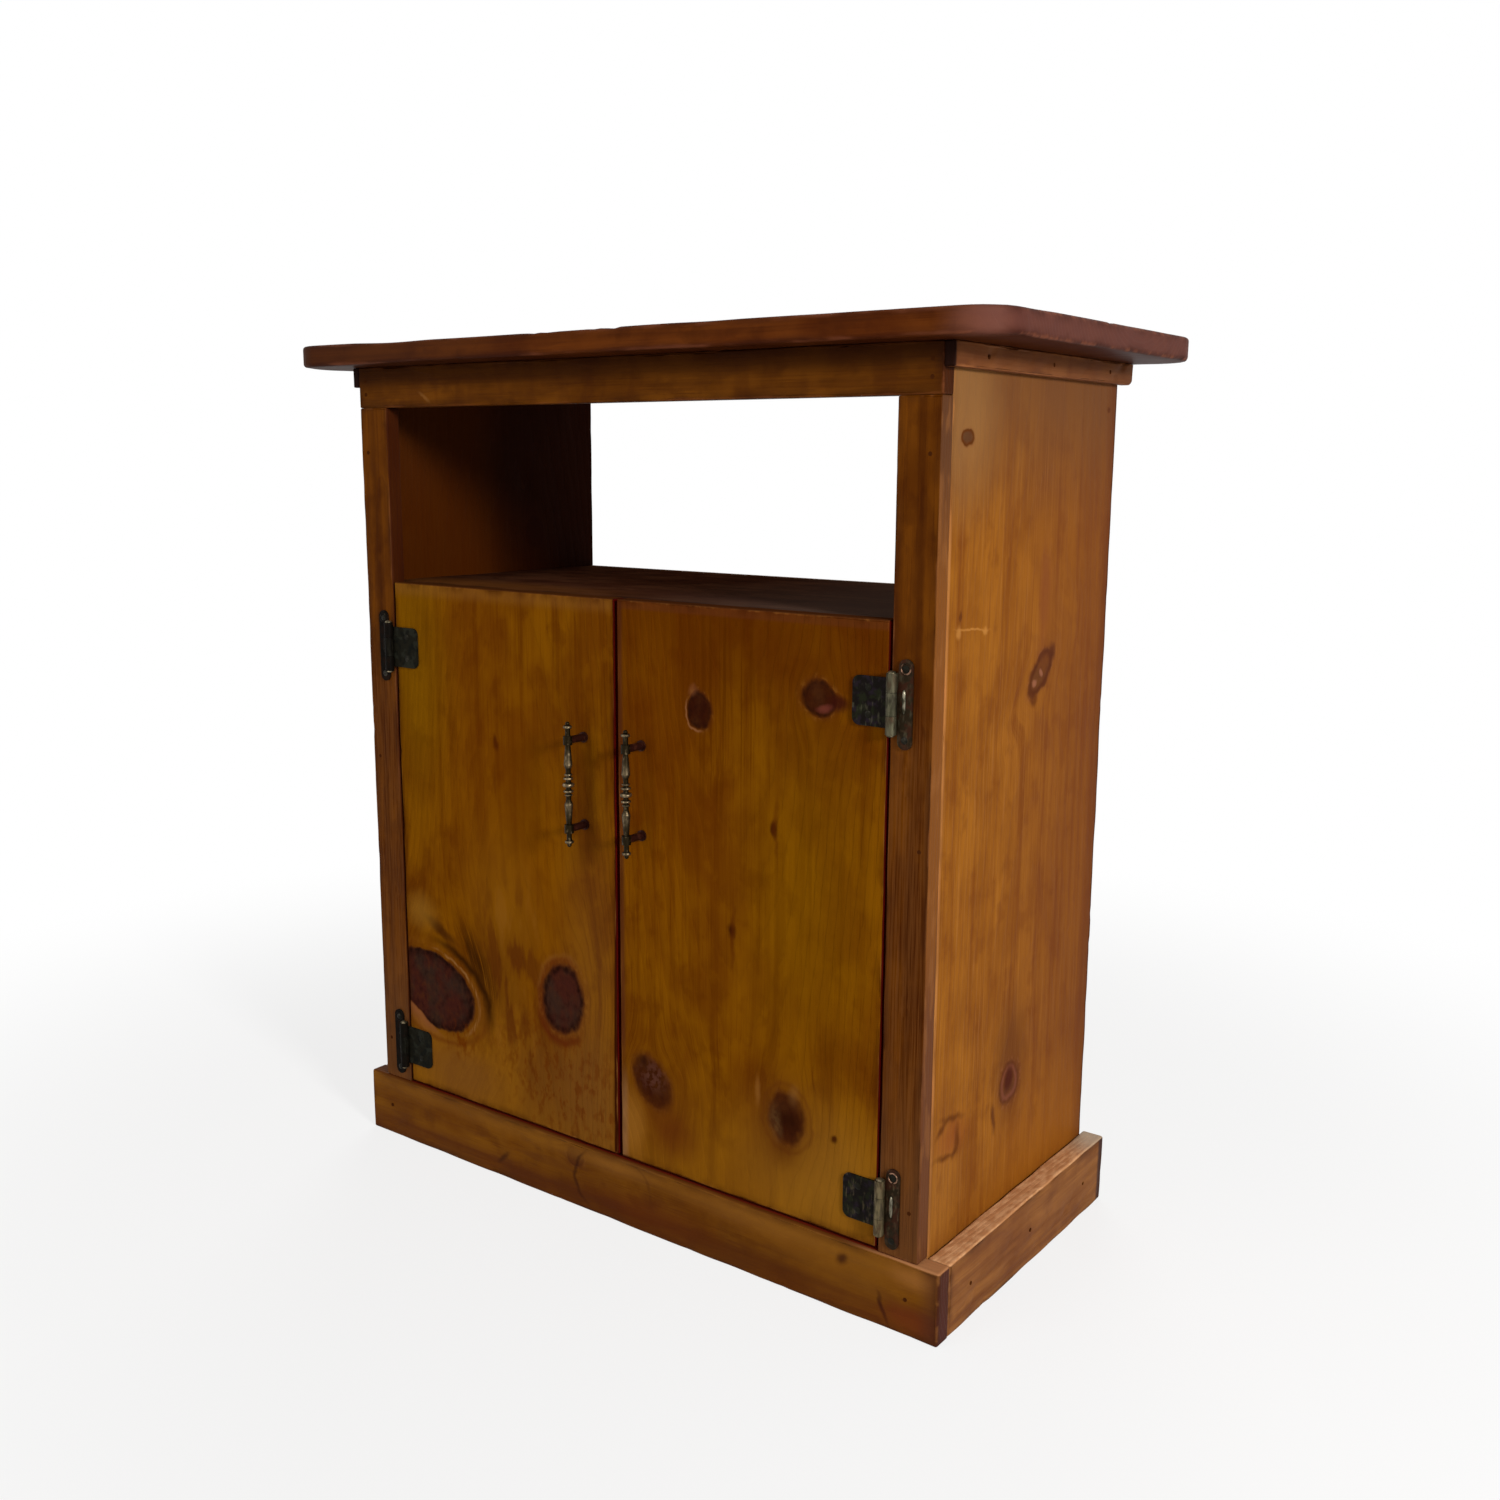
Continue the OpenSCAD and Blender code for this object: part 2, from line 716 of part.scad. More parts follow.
module left_strike() { color(steel) strike(true); }
module right_strike() { color(steel) strike(false); }

// A door, from its hinge-side edge to the line where the doors meet
module door(left) {
    edge = left ? -door_edge_x : door_edge_x;
    meet = meet_shift + (left ? -1 : 1) * door_meet_gap / 2;
    difference() {
        board([min(edge, meet), face_y, door_z0],
            [abs(edge - meet), door_t, door_z1 - door_z0], "z");
        door_screw_set(left);
        at_handle(left)
            for (dz = [-post_pitch / 2, post_pitch / 2])
                translate([0, door_back_y + past, handle_z + dz])
                    rotate([90, 0, 0]) cylinder(r = bolt_r + screw_clearance, h = door_t + 2 * past);
    }
}

module left_door() { color(door_pine) door(true); }
module right_door() { color(door_pine) door(false); }
module left_door_screws() { color(aged_bronze) door_screw_set(true); }
module right_door_screws() { color(aged_bronze) door_screw_set(false); }

// Round beads on the axis of the bar
module bead(z, r, round_r) {
    translate([0, 0, z]) rotate_extrude() {
        translate([r - round_r, 0]) circle(round_r);
        translate([0, -round_r]) square([r - round_r, 2 * round_r]);
    }
}

// A turned cone between two heights of the bar
module taper(z0, r0, z1, r1) {
    translate([0, 0, z0]) cylinder(r1 = r0, r2 = r1, h = z1 - z0);
}

// The upper half of the turned bar: beads, an arm that swells beside them, the
// sleeve that the post holds, and a tail with a bead and a small ball at its tip
module half_bar() {
    post_z = post_pitch / 2;
    arm_z0 = 2.6 * bar_bead_r;
    swell_z = arm_z0 + arm_shoulder;
    sleeve_z = post_z - sleeve_h / 2;
    tip_z = post_z + bar_tail - tip_r;
    tail_z = tip_z - tip_rise;
    cylinder(r = bar_neck_r, h = tail_z);
    for (i = [0:2])
        bead(bead_z[i], bar_bead_r - bead_drops[i], bead_rounds[i]);
    taper(arm_z0, bar_neck_r, swell_z, bar_swell_r);
    taper(swell_z, bar_swell_r, sleeve_z, bar_neck_r);
    translate([0, 0, sleeve_z]) cylinder(r = bar_sleeve_r, h = sleeve_h);
    bead(tail_z, tail_bead_r, tail_bead_round);
    translate([0, 0, tip_z]) sphere(tip_r);
}

module handle_bar(left) {
    at_handle(left)
        translate([0, bar_y, handle_z]) {
            half_bar();
            mirror([0, 0, 1]) half_bar();
        }
}

// The two posts, hollowed to fit the bar's sleeves and bored for the screws
module handle_posts(left) {
    at_handle(left)
        difference() {
            for (dz = [-post_pitch / 2, post_pitch / 2])
                translate([0, face_y, handle_z + dz]) rotate([90, 0, 0]) {
                    cylinder(r = post_foot_r, h = post_foot_t);
                    cylinder(r = post_r, h = bar_out);
                }
            for (dz = [-post_pitch / 2, post_pitch / 2])
                translate([0, bar_y, handle_z + dz - sleeve_h])
                    cylinder(r = bar_sleeve_r, h = 2 * sleeve_h);
            handle_screw_set();
        }
}

module left_handle_bar() { color(worn_brass) handle_bar(true); }
module right_handle_bar() { color(worn_brass) handle_bar(false); }
module left_handle_posts() { color(dark_iron) handle_posts(true); }
module right_handle_posts() { color(dark_iron) handle_posts(false); }
module left_handle_screws() { color(steel) at_handle(true) handle_screw_set(); }
module right_handle_screws() { color(steel) at_handle(false) handle_screw_set(); }

top();
front_rail();
left_stile();
right_stile();
left_side();
right_side();
shelf();
bottom_board();
back_panel();
plinth_front();
plinth_left();
plinth_right();
left_moulding();
right_moulding();
left_shelf_batten();
right_shelf_batten();
left_bottom_batten();
right_bottom_batten();
left_top_batten();
right_top_batten();
rear_top_batten();
left_upper_frame_leaf();
left_lower_frame_leaf();
right_upper_frame_leaf();
right_lower_frame_leaf();
left_upper_pin();
left_lower_pin();
right_upper_pin();
right_lower_pin();
frame_screws();
batten_screws();
finish_nails();
back_nails();
left_catch();
right_catch();
left_door();
left_upper_door_leaf();
left_lower_door_leaf();
left_door_screws();
left_handle_bar();
left_handle_posts();
left_handle_screws();
left_strike();
right_door();
right_upper_door_leaf();
right_lower_door_leaf();
right_door_screws();
right_handle_bar();
right_handle_posts();
right_handle_screws();
right_strike();
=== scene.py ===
# %% [markdown]
# # A rustic pine cabinet
#
# The real object is a small cabinet of knotty pine: an open bay above a cupboard with two flush doors, under
# an overhanging top, on a low plinth. Its construction comes from the packed model, which is loaded here as a
# fixed frame. This lesson dresses that frame: every board gets soft worn arrises and its own grain and knots,
# and the metal gets its tarnish and its rubbed places.

# %% Load the frame
import json
import math
from collections import namedtuple

import bpy
import numpy as np
from mathutils import Matrix, Vector

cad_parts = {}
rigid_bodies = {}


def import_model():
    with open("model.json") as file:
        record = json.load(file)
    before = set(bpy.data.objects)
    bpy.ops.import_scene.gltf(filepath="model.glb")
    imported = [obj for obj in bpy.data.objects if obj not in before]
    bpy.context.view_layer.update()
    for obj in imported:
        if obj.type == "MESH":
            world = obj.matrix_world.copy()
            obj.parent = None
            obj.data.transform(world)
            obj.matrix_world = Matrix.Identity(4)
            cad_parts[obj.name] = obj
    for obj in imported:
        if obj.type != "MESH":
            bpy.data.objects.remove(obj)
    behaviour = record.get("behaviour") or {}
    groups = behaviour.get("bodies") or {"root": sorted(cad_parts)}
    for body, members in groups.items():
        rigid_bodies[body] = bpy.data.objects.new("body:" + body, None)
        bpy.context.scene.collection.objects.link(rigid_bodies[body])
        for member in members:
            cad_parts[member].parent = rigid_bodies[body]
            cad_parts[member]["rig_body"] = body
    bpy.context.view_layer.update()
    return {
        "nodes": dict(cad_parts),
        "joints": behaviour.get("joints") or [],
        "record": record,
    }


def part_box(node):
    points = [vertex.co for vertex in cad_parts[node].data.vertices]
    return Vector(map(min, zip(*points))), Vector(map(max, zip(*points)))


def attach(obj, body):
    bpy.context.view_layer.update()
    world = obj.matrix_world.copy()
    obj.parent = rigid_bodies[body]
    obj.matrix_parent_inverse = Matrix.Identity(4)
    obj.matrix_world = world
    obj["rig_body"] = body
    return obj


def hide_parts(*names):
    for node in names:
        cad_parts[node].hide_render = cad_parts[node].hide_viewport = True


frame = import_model()
slot_of = {part["node"]: part["material_slot"] for part in frame["record"]["subparts"]}
MM = 0.001


def box_of(node):
    """The low and the high corner of a node's box, in millimetres."""
    return [np.array(corner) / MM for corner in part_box(node)]


print("nodes:", len(frame["nodes"]), "slots:", len(set(slot_of.values())))

# %% [markdown]
# ## The camera
#
# The photograph was taken from the right, a little below the top board, so the top's upper face doesn't show.
# The place and angles below were fitted to the corners of the boards. A track constraint could aim the camera,
# but it leaves out the roll. Three turns, one after another, hold all that was fitted: roll about the camera's
# own axis, pitch up from looking straight down, and yaw to the left.

# %% Camera
PHOTO_SIDE = 1500
FOCAL_PIXELS = 1506.2
SENSOR = 36.0
EYE = Vector((0.8268, -1.0700, 0.6621))
YAW, PITCH, ROLL = 0.6359, -0.1884, 0.0064


def link(name, data):
    """Puts mesh, lamp or camera data into the scene as an object."""
    made = bpy.data.objects.new(name, data)
    bpy.context.scene.collection.objects.link(made)
    return made


def set_camera():
    """The lens is the focal length in pixels as a share of the photograph's side, times the sensor."""
    data = bpy.data.cameras.new("photo_camera")
    data.sensor_width = SENSOR
    data.lens = FOCAL_PIXELS / PHOTO_SIDE * SENSOR
    camera = link("photo_camera", data)
    turns = ((YAW, "Z"), (math.pi / 2 + PITCH, "X"), (ROLL, "Z"))
    yaw, pitch, roll = (Matrix.Rotation(angle, 4, axis) for angle, axis in turns)
    camera.matrix_world = Matrix.Translation(EYE) @ yaw @ pitch @ roll
    bpy.context.scene.camera = camera
    print("lens", round(data.lens, 2), "mm")


set_camera()

# %% [markdown]
# ## Writing a finish
#
# A material is a sum of small signals: a grain line here, a stain there. Joining nodes by hand hides that sum,
# so one small class wraps a socket and lets Python's own signs add the Math nodes.

# %% Signals


def rgb(red, green, blue):
    """A colour as it is seen on a screen, 0 to 255, turned into the linear values that a shader wants."""
    seen = [value / 255 for value in (red, green, blue)]
    return tuple(v / 12.92 if v <= 0.04045 else ((v + 0.055) / 1.055) ** 2.4 for v in seen) + (1.0,)


class Signal:
    """One output of a node, on which sums can be written."""

    def __init__(self, finish, socket):
        self.finish = finish
        self.socket = socket

    def __add__(self, other):
        return self.finish.maths("ADD", self, other)

    def __radd__(self, other):
        return self.finish.maths("ADD", other, self)

    def __sub__(self, other):
        return self.finish.maths("SUBTRACT", self, other)

    def __rsub__(self, other):
        return self.finish.maths("SUBTRACT", other, self)

    def __mul__(self, other):
        return self.finish.maths("MULTIPLY", self, other)

    def __rmul__(self, other):
        return self.finish.maths("MULTIPLY", other, self)

    def __truediv__(self, other):
        return self.finish.maths("DIVIDE", self, other)

    def __rtruediv__(self, other):
        return self.finish.maths("DIVIDE", other, self)

    def larger(self, other):
        """The larger of this signal and another."""
        return self.finish.maths("MAXIMUM", self, other)

    def smaller(self, other):
        """The smaller of this signal and another."""
        return self.finish.maths("MINIMUM", self, other)

    def smooth(self, start, end):
        """0 at start and 1 at end, with a soft S between them. It falls where end is below start."""
        return self.finish.node("ShaderNodeMapRange", {"interpolation_type": "SMOOTHSTEP"},
                                {0: self, 1: start, 2: end})


print("middle grey is", round(rgb(128, 128, 128)[0], 3), "in linear light")

# %% [markdown]
# A second class holds a material, or the world, while it is mixed. One method makes any node, and the others
# only hand it their settings. Colours go through a Mix node, because a Math node would turn them grey.

# %% Finishes
SEED_STEPS = (1.0, 1.7, 0.3)


class Finish:
    """A material or a world that is being mixed."""

    def __init__(self, owner):
        owner.use_nodes = True
        self.owner = owner
        self.tree = owner.node_tree
        self.shader = self.tree.nodes.get("Principled BSDF")

    def feed(self, socket, value):
        """Joins a signal to the socket, or sets a plain value on it."""
        if isinstance(value, Signal):
            self.tree.links.new(value.socket, socket)
        else:
            socket.default_value = value

    def node(self, kind, settings=None, inputs=None, output=0):
        """Any node: its settings first, then the values or signals of its sockets."""
        made = self.tree.nodes.new(kind)
        for key, value in (settings or {}).items():
            setattr(made, key, value)
        for key, value in (inputs or {}).items():
            self.feed(made.inputs[key], value)
        return Signal(self, made.outputs[output])

    def maths(self, operation, *values):
        """A sum on one or two numbers."""
        return self.node("ShaderNodeMath", {"operation": operation}, dict(enumerate(values)))

    def vector(self, operation, *values):
        """A sum on vectors. Lengths and dot products come out as numbers."""
        output = int(operation in ("LENGTH", "DOT_PRODUCT"))
        return self.node("ShaderNodeVectorMath", {"operation": operation}, dict(enumerate(values)), output)

    def split(self, place):
        """The three numbers of a vector."""
        numbers = self.node("ShaderNodeSeparateXYZ", {}, {0: place}).socket.node.outputs
        return [Signal(self, number) for number in numbers]

    def join(self, *numbers):
        """A vector from three numbers."""
        return self.node("ShaderNodeCombineXYZ", {}, dict(enumerate(numbers)))

    def place(self):
        """The object's own place, in millimetres."""
        return self.vector("MULTIPLY", self.node("ShaderNodeTexCoord", output="Object"), (1 / MM,) * 3)

    def blend(self, share, first, second):
        """The first colour where share is 0 and the second where it is 1. Plain ones are given as on a screen."""
        first, second = (c if isinstance(c, Signal) else rgb(*c) for c in (first, second))
        return self.node("ShaderNodeMix", {"data_type": "RGBA"}, {0: share, 6: first, 7: second}, 2)

    def noise(self, place, size, seed, detail=2.0, output=0):
        """Cloudy noise with features of about the given size along each axis, moved on by the seed."""
        away = tuple(seed * step for step in SEED_STEPS)
        spread = self.vector("MULTIPLY_ADD", place, tuple(1 / s for s in size), away)
        return self.node("ShaderNodeTexNoise", {}, {"Vector": spread, "Scale": 1.0, "Detail": detail}, output)

    def close(self, colour, roughness, specular, metallic=0.0, height=None, lift=0.0):
        """Joins the signals to the shader. Height is in parts of lift, which is in millimetres."""
        values = {"Base Color": colour, "Roughness": roughness, "Specular IOR Level": specular,
                  "Metallic": metallic}
        if height is not None:
            bump = {"Strength": 1.0, "Distance": lift * MM, "Height": height}
            values["Normal"] = self.node("ShaderNodeBump", {}, bump)
        for socket, value in values.items():
            self.feed(self.shader.inputs[socket], value)
        return self.owner


print("a finish has", len([step for step in vars(Finish) if not step.startswith("__")]), "steps")

# %% [markdown]
# ## Pine
#
# A pine board is a slice through a tree. Each year's growth is a shell round the pith, so a grain line is a
# place at a whole number of rings from the pith, and a knot is a branch that cuts through and pushes the rings
# aside. An image of wood could be stretched over the boards, but then the end grain wouldn't meet the face.
# Working the rings out in space gives faces, edges and ends that agree. Millimetres are used here, so the
# numbers are the ones that a ruler would give on the real board.

# %% Growth rings and knots
# A knot's place and half size go across and along the board, and its turn is in degrees. Heart, red and rim
# say how strong its middle, its ring of stain and its crisp edge are, and soft how wide its edge is.
Knot = namedtuple("Knot", "at size turn heart red soft rim", defaults=(0, 1.0, 0.6, 0.08, 1.0))
THROUGH = 1e6
WANDER, SWAY = 8.0, 26.0
PUSH_SPREAD, FADE = (0.62, 0.42, 0.0), 0.42
RED_EDGE, CRISP_EDGE = (1.55, 0.8), (2.2, 2.0)
LATE_START, LATE_FULL, LATE_END = 0.35, 0.90, 1.0


def way_to(degrees):
    """A step of length 1 over the board's face: 0 degrees is across and 90 along."""
    return (math.cos(math.radians(degrees)), math.sin(math.radians(degrees)), 0.0)


class Grain(Finish):
    """The growth of one board. Across, along and depth are the board's own axes, in millimetres."""

    def __init__(self, node, seed, knots, pith, lean, ring):
        super().__init__(bpy.data.materials.new(node + "_pine"))
        low, high = box_of(node)
        thin, wide, long = np.argsort(high - low)
        order = [wide, long, thin]
        self.middle = ((high + low) / 2)[order]
        self.half = ((high - low) / 2)[order]
        self.seed = seed
        axes = self.split(self.place())
        self.across, self.along, self.depth = (axes[axis] for axis in order)
        self.board = self.join(self.across, self.along, self.depth)
        drift = self.vector("SUBTRACT", self.clouds((13, 18, 13), seed, 3.0, "Color"), (0.5, 0.5, 0.5))
        self.wavy = self.vector("MULTIPLY_ADD", drift, (WANDER, WANDER, 0.0), self.board)
        self.grow(self.across - self.sprout(knots), pith, lean, ring)

    def clouds(self, size, seed, detail=2.0, output=0):
        """Cloudy patches of about the given size across, along and into the board."""
        return self.noise(self.board, size, seed, detail, output)

    def reach(self, at, size, turn):
        """How far a point is from a turned ellipse's middle, as a share of the ellipse's own radius there."""
        ellipse = {1: (*at, 0.0), 2: (0.0, 0.0, math.radians(turn)), 3: (*size, THROUGH)}
        inside = self.node("ShaderNodeMapping", {"vector_type": "TEXTURE"}, {0: self.wavy, **ellipse})
        return inside, self.vector("LENGTH", inside)

    def arc(self, knot, radius, width, toward=0.0, spread=-2.0):
        """A line round a knot at a share of its radius, kept only near the direction given, in degrees."""
        inside, reach = self.reach(knot.at, knot.size, knot.turn)
        line = reach.smooth(radius - width, radius) * reach.smooth(radius + width, radius)
        facing = self.vector("DOT_PRODUCT", inside, way_to(toward)) / reach
        return line * facing.smooth(spread, spread + 0.5)

    def past_line(self, at, toward, soft=1.5):
        """1 on the far side of a straight line through a place, square to the direction in degrees."""
        way = way_to(toward)
        start = at[0] * way[0] + at[1] * way[1]
        return (self.vector("DOT_PRODUCT", self.wavy, way) - start).smooth(-soft, soft)

    def sprout(self, knots):
        """The knots' masks, and their push on the grain: distance times FADE to the power of reach squared."""
        push, self.near, self.heart, self.red, self.crisp = 0.0, THROUGH, 0.0, 0.0, 0.0
        for knot in knots:
            inside, reach = self.reach(knot.at, knot.size, knot.turn)
            wide = self.vector("MULTIPLY", inside, PUSH_SPREAD)
            fade = self.maths("POWER", FADE, self.vector("DOT_PRODUCT", wide, wide))
            push = (self.across - knot.at[0]) * fade + push
            self.near = reach.smaller(self.near)
            self.heart = (reach.smooth(1 + knot.soft, 1 - knot.soft) * knot.heart).larger(self.heart)
            self.red = (reach.smooth(*RED_EDGE) * knot.red).larger(self.red)
            self.crisp = (reach.smooth(*CRISP_EDGE) * knot.rim).larger(self.crisp)
        return push

    def grow(self, flow, pith, lean, ring):
        """Rings are the distance from the leaning pith over a ring's width. Their fraction is the cycle."""
        grain = self.join(flow, self.along, self.depth)
        swing = (self.clouds((80, 420, 80), self.seed + 3) - 0.5) * SWAY
        up = self.along - self.middle[1]
        off = flow - (pith[0] + self.middle[0]) + swing - up * lean[0]
        deep = self.depth - (pith[1] + self.middle[2]) - up * lean[1]
        rings = self.maths("SQRT", off * off + deep * deep) / ring
        cycle = self.maths("FRACT", rings + self.noise(grain, (9, 70, 9), self.seed + 5) * 0.7)
        self.late = cycle.smooth(LATE_START, LATE_FULL) * cycle.smooth(LATE_END, LATE_FULL)
        self.fibre = self.noise(grain, (1.1, 60, 1.1), self.seed + 7, 3.0)
        self.band = self.noise(grain, (11, 420, 11), self.seed + 9)
        self.cloud = self.clouds((46, 80, 46), self.seed + 11, 3.0)


print("late wood fills", round((LATE_END - LATE_START) * 100), "percent of a year's ring")

# %% [markdown]
# Stain sinks deepest into the late wood and into rough patches, and knots take it red and dark. Later the arrises
# are rubbed pale, and a band beside them is darkened, partly as dirt and partly as painted shade. Each of these
# is a tint laid over the ones before, in the order in which it came to the real board.

# %% Stain, knots and wear
HEART_RINGS, RING_STIR, RING_SHARE = 17.0, 5.0, 0.12
RAGGED = 4.0


class Pine(Grain):
    """Stained pine for one board, tinted in layers."""

    def __init__(self, node, tones, knots=(), pith=(30, 90), lean=(0.02, 0.05), ring=4.6, seed=1, lines=0.42):
        """Three tones: where the stain took lightly, evenly and deeply. The late wood takes it deepest."""
        super().__init__(node, seed, knots, pith, lean, ring)
        light, even, deep = tones
        self.colour = self.blend(self.cloud.smooth(0.36, 0.64), even, light)
        self.tint(self.band.smooth(0.45, 0.72) * 0.6, deep)
        self.tint(self.late * lines, deep)
        self.tint(self.fibre.smooth(0.50, 0.80) * 0.5, deep)
        self.tint(self.fibre.smooth(0.46, 0.22) * 0.3, light)
        blotch = self.clouds((22, 30, 22), seed + 21, 4.0)
        self.tint(blotch.smooth(0.52, 0.68) * 0.4, deep)
        self.tint(blotch.smooth(0.46, 0.30) * 0.35, light)

    def tint(self, share, colour):
        """Lays a colour over what is there."""
        self.colour = self.blend(share, self.colour, colour)

    def mark(self, at, size, share, colour, turn=0, soft=0.9):
        """A stain in a turned ellipse: full up to 1 - soft of its radius, and gone at 1 + soft."""
        self.tint(self.reach(at, size, turn)[1].smooth(1 + soft, 1 - soft) * share, colour)

    def rim(self, knot, radius, width, share, colour, toward=0.0, spread=-2.0):
        """A stained line round a knot."""
        self.tint(self.arc(knot, radius, width, toward, spread) * share, colour)

    def rise(self, start, end):
        """0 to 1 along the board."""
        return self.along.smooth(start, end)

    def arris_gap(self):
        """Distance to the nearest arris: the middle one of the distances to the three pairs of faces."""
        out = self.vector("ABSOLUTE", self.vector("SUBTRACT", self.board, tuple(self.middle)))
        a, b, c = self.split(self.vector("SUBTRACT", tuple(self.half), out))
        return a.smaller(b).larger(a.larger(b).smaller(c))

    def draw_knots(self, heart=(62, 28, 21), red=(84, 36, 18), rim=(28, 11, 7), pale=(140, 88, 30),
                   grey=(48, 36, 28)):
        """A reddish stain, a heart with rings and grey clouds, a dark rim, and a pale ring in patches."""
        fleck = self.clouds((5, 7, 5), self.seed + 13, 4.0)
        self.tint(self.red * (0.3 + fleck * 0.8), red)
        rings = self.maths("SINE", self.near * HEART_RINGS + self.fibre * RING_STIR) * RING_SHARE
        murk = self.clouds((22, 30, 22), self.seed + 23, 4.0)
        inner = self.blend(murk.smooth(0.40, 0.64) * 0.7, heart, grey)
        inner = self.blend(fleck.smooth(0.5, 0.7) * 0.3 + rings, inner, rim)
        self.tint((self.heart * (0.75 + fleck * 0.5)).smaller(self.heart), inner)
        edge = self.near.smooth(0.72, 0.95) * self.near.smooth(1.16, 0.98) * self.crisp
        self.tint(edge * (self.heart + self.red * 0.3) * (0.35 + fleck.smooth(0.3, 0.7) * 0.5), rim)
        halo = self.near.smooth(1.06, 1.2) * self.near.smooth(1.75, 1.25) * self.crisp
        self.tint(halo * fleck.smooth(0.45, 0.65) * self.red * 0.8, pale)

    def wear(self, worn, dirt_and_shade, worn_share=0.8, dirt_and_shade_share=0.6, worn_width=2.2, dirt_and_shade_width=9.0):
        """Arrises rubbed pale in patches, and a band beside them darkened partly as dirt and partly as painted
        shade.
        """
        gap = self.arris_gap()
        ragged = gap + (self.clouds((6, 24, 6), self.seed + 15, 3.0) - 0.5) * RAGGED
        dirt_and_shade_patches = self.clouds((20, 60, 20), self.seed + 17).smooth(0.35, 0.65)
        # Dirt and painted shade: a dark band beside each arris, which also darkens the lines where parts meet.
        self.tint(gap.smooth(dirt_and_shade_width, 0.0) * dirt_and_shade_patches * dirt_and_shade_share, dirt_and_shade)
        patch = self.clouds((12, 55, 12), self.seed + 19).smooth(0.44, 0.60)
        self.tint(ragged.smooth(worn_width, 0.0) * patch * worn_share, worn)

    def done(self, roughness=0.46, specular=0.02, lift=0.25):
        """The finished material: fibres and knots stand up, and late wood lies low and is smoother."""
        height = self.fibre * 0.5 - self.late * 0.5 + self.heart * 0.7
        sheen = roughness + self.cloud * 0.12 - self.late * 0.05
        return self.close(self.colour, sheen, specular, height=height, lift=lift)


print("pine adds", len([step for step in vars(Pine) if not step.startswith("__")]), "steps")

# %% [markdown]
# ## Boards with worn arrises
#
# The packed boards are true and sharp. Real ones have been sanded and knocked: each arris is a small round
# whose radius wanders, and the plan corners are rounded too. A Bevel modifier gives one radius everywhere, so
# the boards are worked out instead. Each is a block of grid points kept only on its outside.

# %% The outside of a block
WAVES, WAVE_PACE, WAVE_LIFT = 8, 2.2, 1.8


def outside_of(columns, rows, levels):
    """Numbers the outside points of a block of grid points, and lists its quads, seen from outside."""
    kept = np.ones((columns, rows, levels), bool)
    kept[1:-1, 1:-1, 1:-1] = False
    number = np.full(kept.shape, -1)
    number[kept] = np.arange(kept.sum())
    quads = []
    for axis in range(3):
        for end in (0, -1):
            sheet = np.take(number, end, axis)
            corners = [sheet[:-1, :-1], sheet[1:, :-1], sheet[1:, 1:], sheet[:-1, 1:]]
            quad = np.stack([corner.ravel() for corner in corners], 1)
            quads.append(quad[:, ::-1] if (end == 0) != (axis == 1) else quad)
    return np.nonzero(kept), np.concatenate(quads)


def ripple(points, size, seed):
    """Smooth noise from about -1 to 1: the lifted mean of seeded sine waves whose lengths are near size."""
    rng = np.random.default_rng(seed)
    ways = rng.normal(size=(WAVES, 3)) / size * WAVE_PACE
    shifts = rng.uniform(0, 2 * math.pi, WAVES)
    return np.sin(points @ ways.T + shifts).mean(1) * WAVE_LIFT


print("a block of 20 x 10 x 10 points has", len(outside_of(20, 10, 10)[1]), "quads on its outside")

# %% [markdown]
# In plan, a point in a corner's square is drawn onto a quarter circle, and each level of the rounded edge is
# drawn inwards. The draw grows and shrinks with the ripple, so the arris looks worn by hand.

# %% Points of a worn board
TURNS = np.radians((0, 15, 30, 45))
LEVEL_ANGLES = np.radians((90, 67.5, 45, 22.5, 0))
HOLD, CUT = 0.7, 0.05
LONG_WEAR, SHORT_WEAR, NICK_SIZE, NICK_FROM = 34.0, 9.0, 2.5, 0.6


def with_cuts(places, cuts):
    """The places with two more at each cut, a hair apart, for a sharp step there."""
    return np.union1d(places, [cut + way * CUT for cut in cuts for way in (-1, 1)])


def stations(half, corner, step, cuts=()):
    """Places across a board: even ones in the middle, one close inside each corner, and the corner's own."""
    core = half - corner
    count = max(2, int(round(2 * (core - HOLD) / step)))
    inner = with_cuts(np.linspace(-(core - HOLD), core - HOLD, count), cuts)
    bend = core + corner * np.tan(TURNS)
    return np.concatenate([-bend[::-1], inner, bend])


def levels_of(half, edge, cuts):
    """Heights and inward draws of a rounded edge: a quarter turn, the wall, and another quarter turn."""
    draw = edge * (1 - np.cos(LEVEL_ANGLES))
    rise = half - edge + edge * np.sin(LEVEL_ANGLES)
    reach = half - edge - HOLD / 2
    wall = with_cuts(np.array([-reach, reach]) if reach > HOLD / 2 else np.array([]), cuts)
    return np.concatenate([-rise, wall, rise[::-1]]), np.concatenate([draw, np.zeros_like(wall), draw[::-1]])


def board_points(half, corner, edge, step, seed, uneven, cuts):
    """Points and quads of a board about its own middle: along, across and depth, in millimetres.

    A point's core is its place held inside the corners' middles, and its band is the rest. The band is
    shortened by the level's draw, then turned onto a circle: band times its larger part, over its length."""
    xs, ys = stations(half[0], corner, step, cuts[0]), stations(half[1], corner, step)
    heights, draws = levels_of(half[2], edge, cuts[1])
    (i, j, k), quads = outside_of(len(xs), len(ys), len(heights))
    flat, height = np.stack([xs[i], ys[j]], 1), heights[k]
    core = np.clip(flat, corner - half[:2], half[:2] - corner)
    place = np.column_stack([flat, height])
    nicks = np.maximum(0, ripple(place, SHORT_WEAR, seed + 1) - NICK_FROM)
    worn = 1 + uneven * ripple(place, LONG_WEAR, seed) + uneven * NICK_SIZE * nicks
    band = (flat - core) * (1 - draws[k] * worn / corner)[:, None]
    longest = np.abs(band).max(1)
    length = np.linalg.norm(band, axis=1)
    band *= np.divide(longest, length, out=np.ones_like(length), where=length > 0)[:, None]
    dip = (np.abs(height) - (half[2] - edge)).clip(0) * (worn - 1)
    return np.column_stack([core + band, height - np.sign(height) * dip.clip(0)]), quads


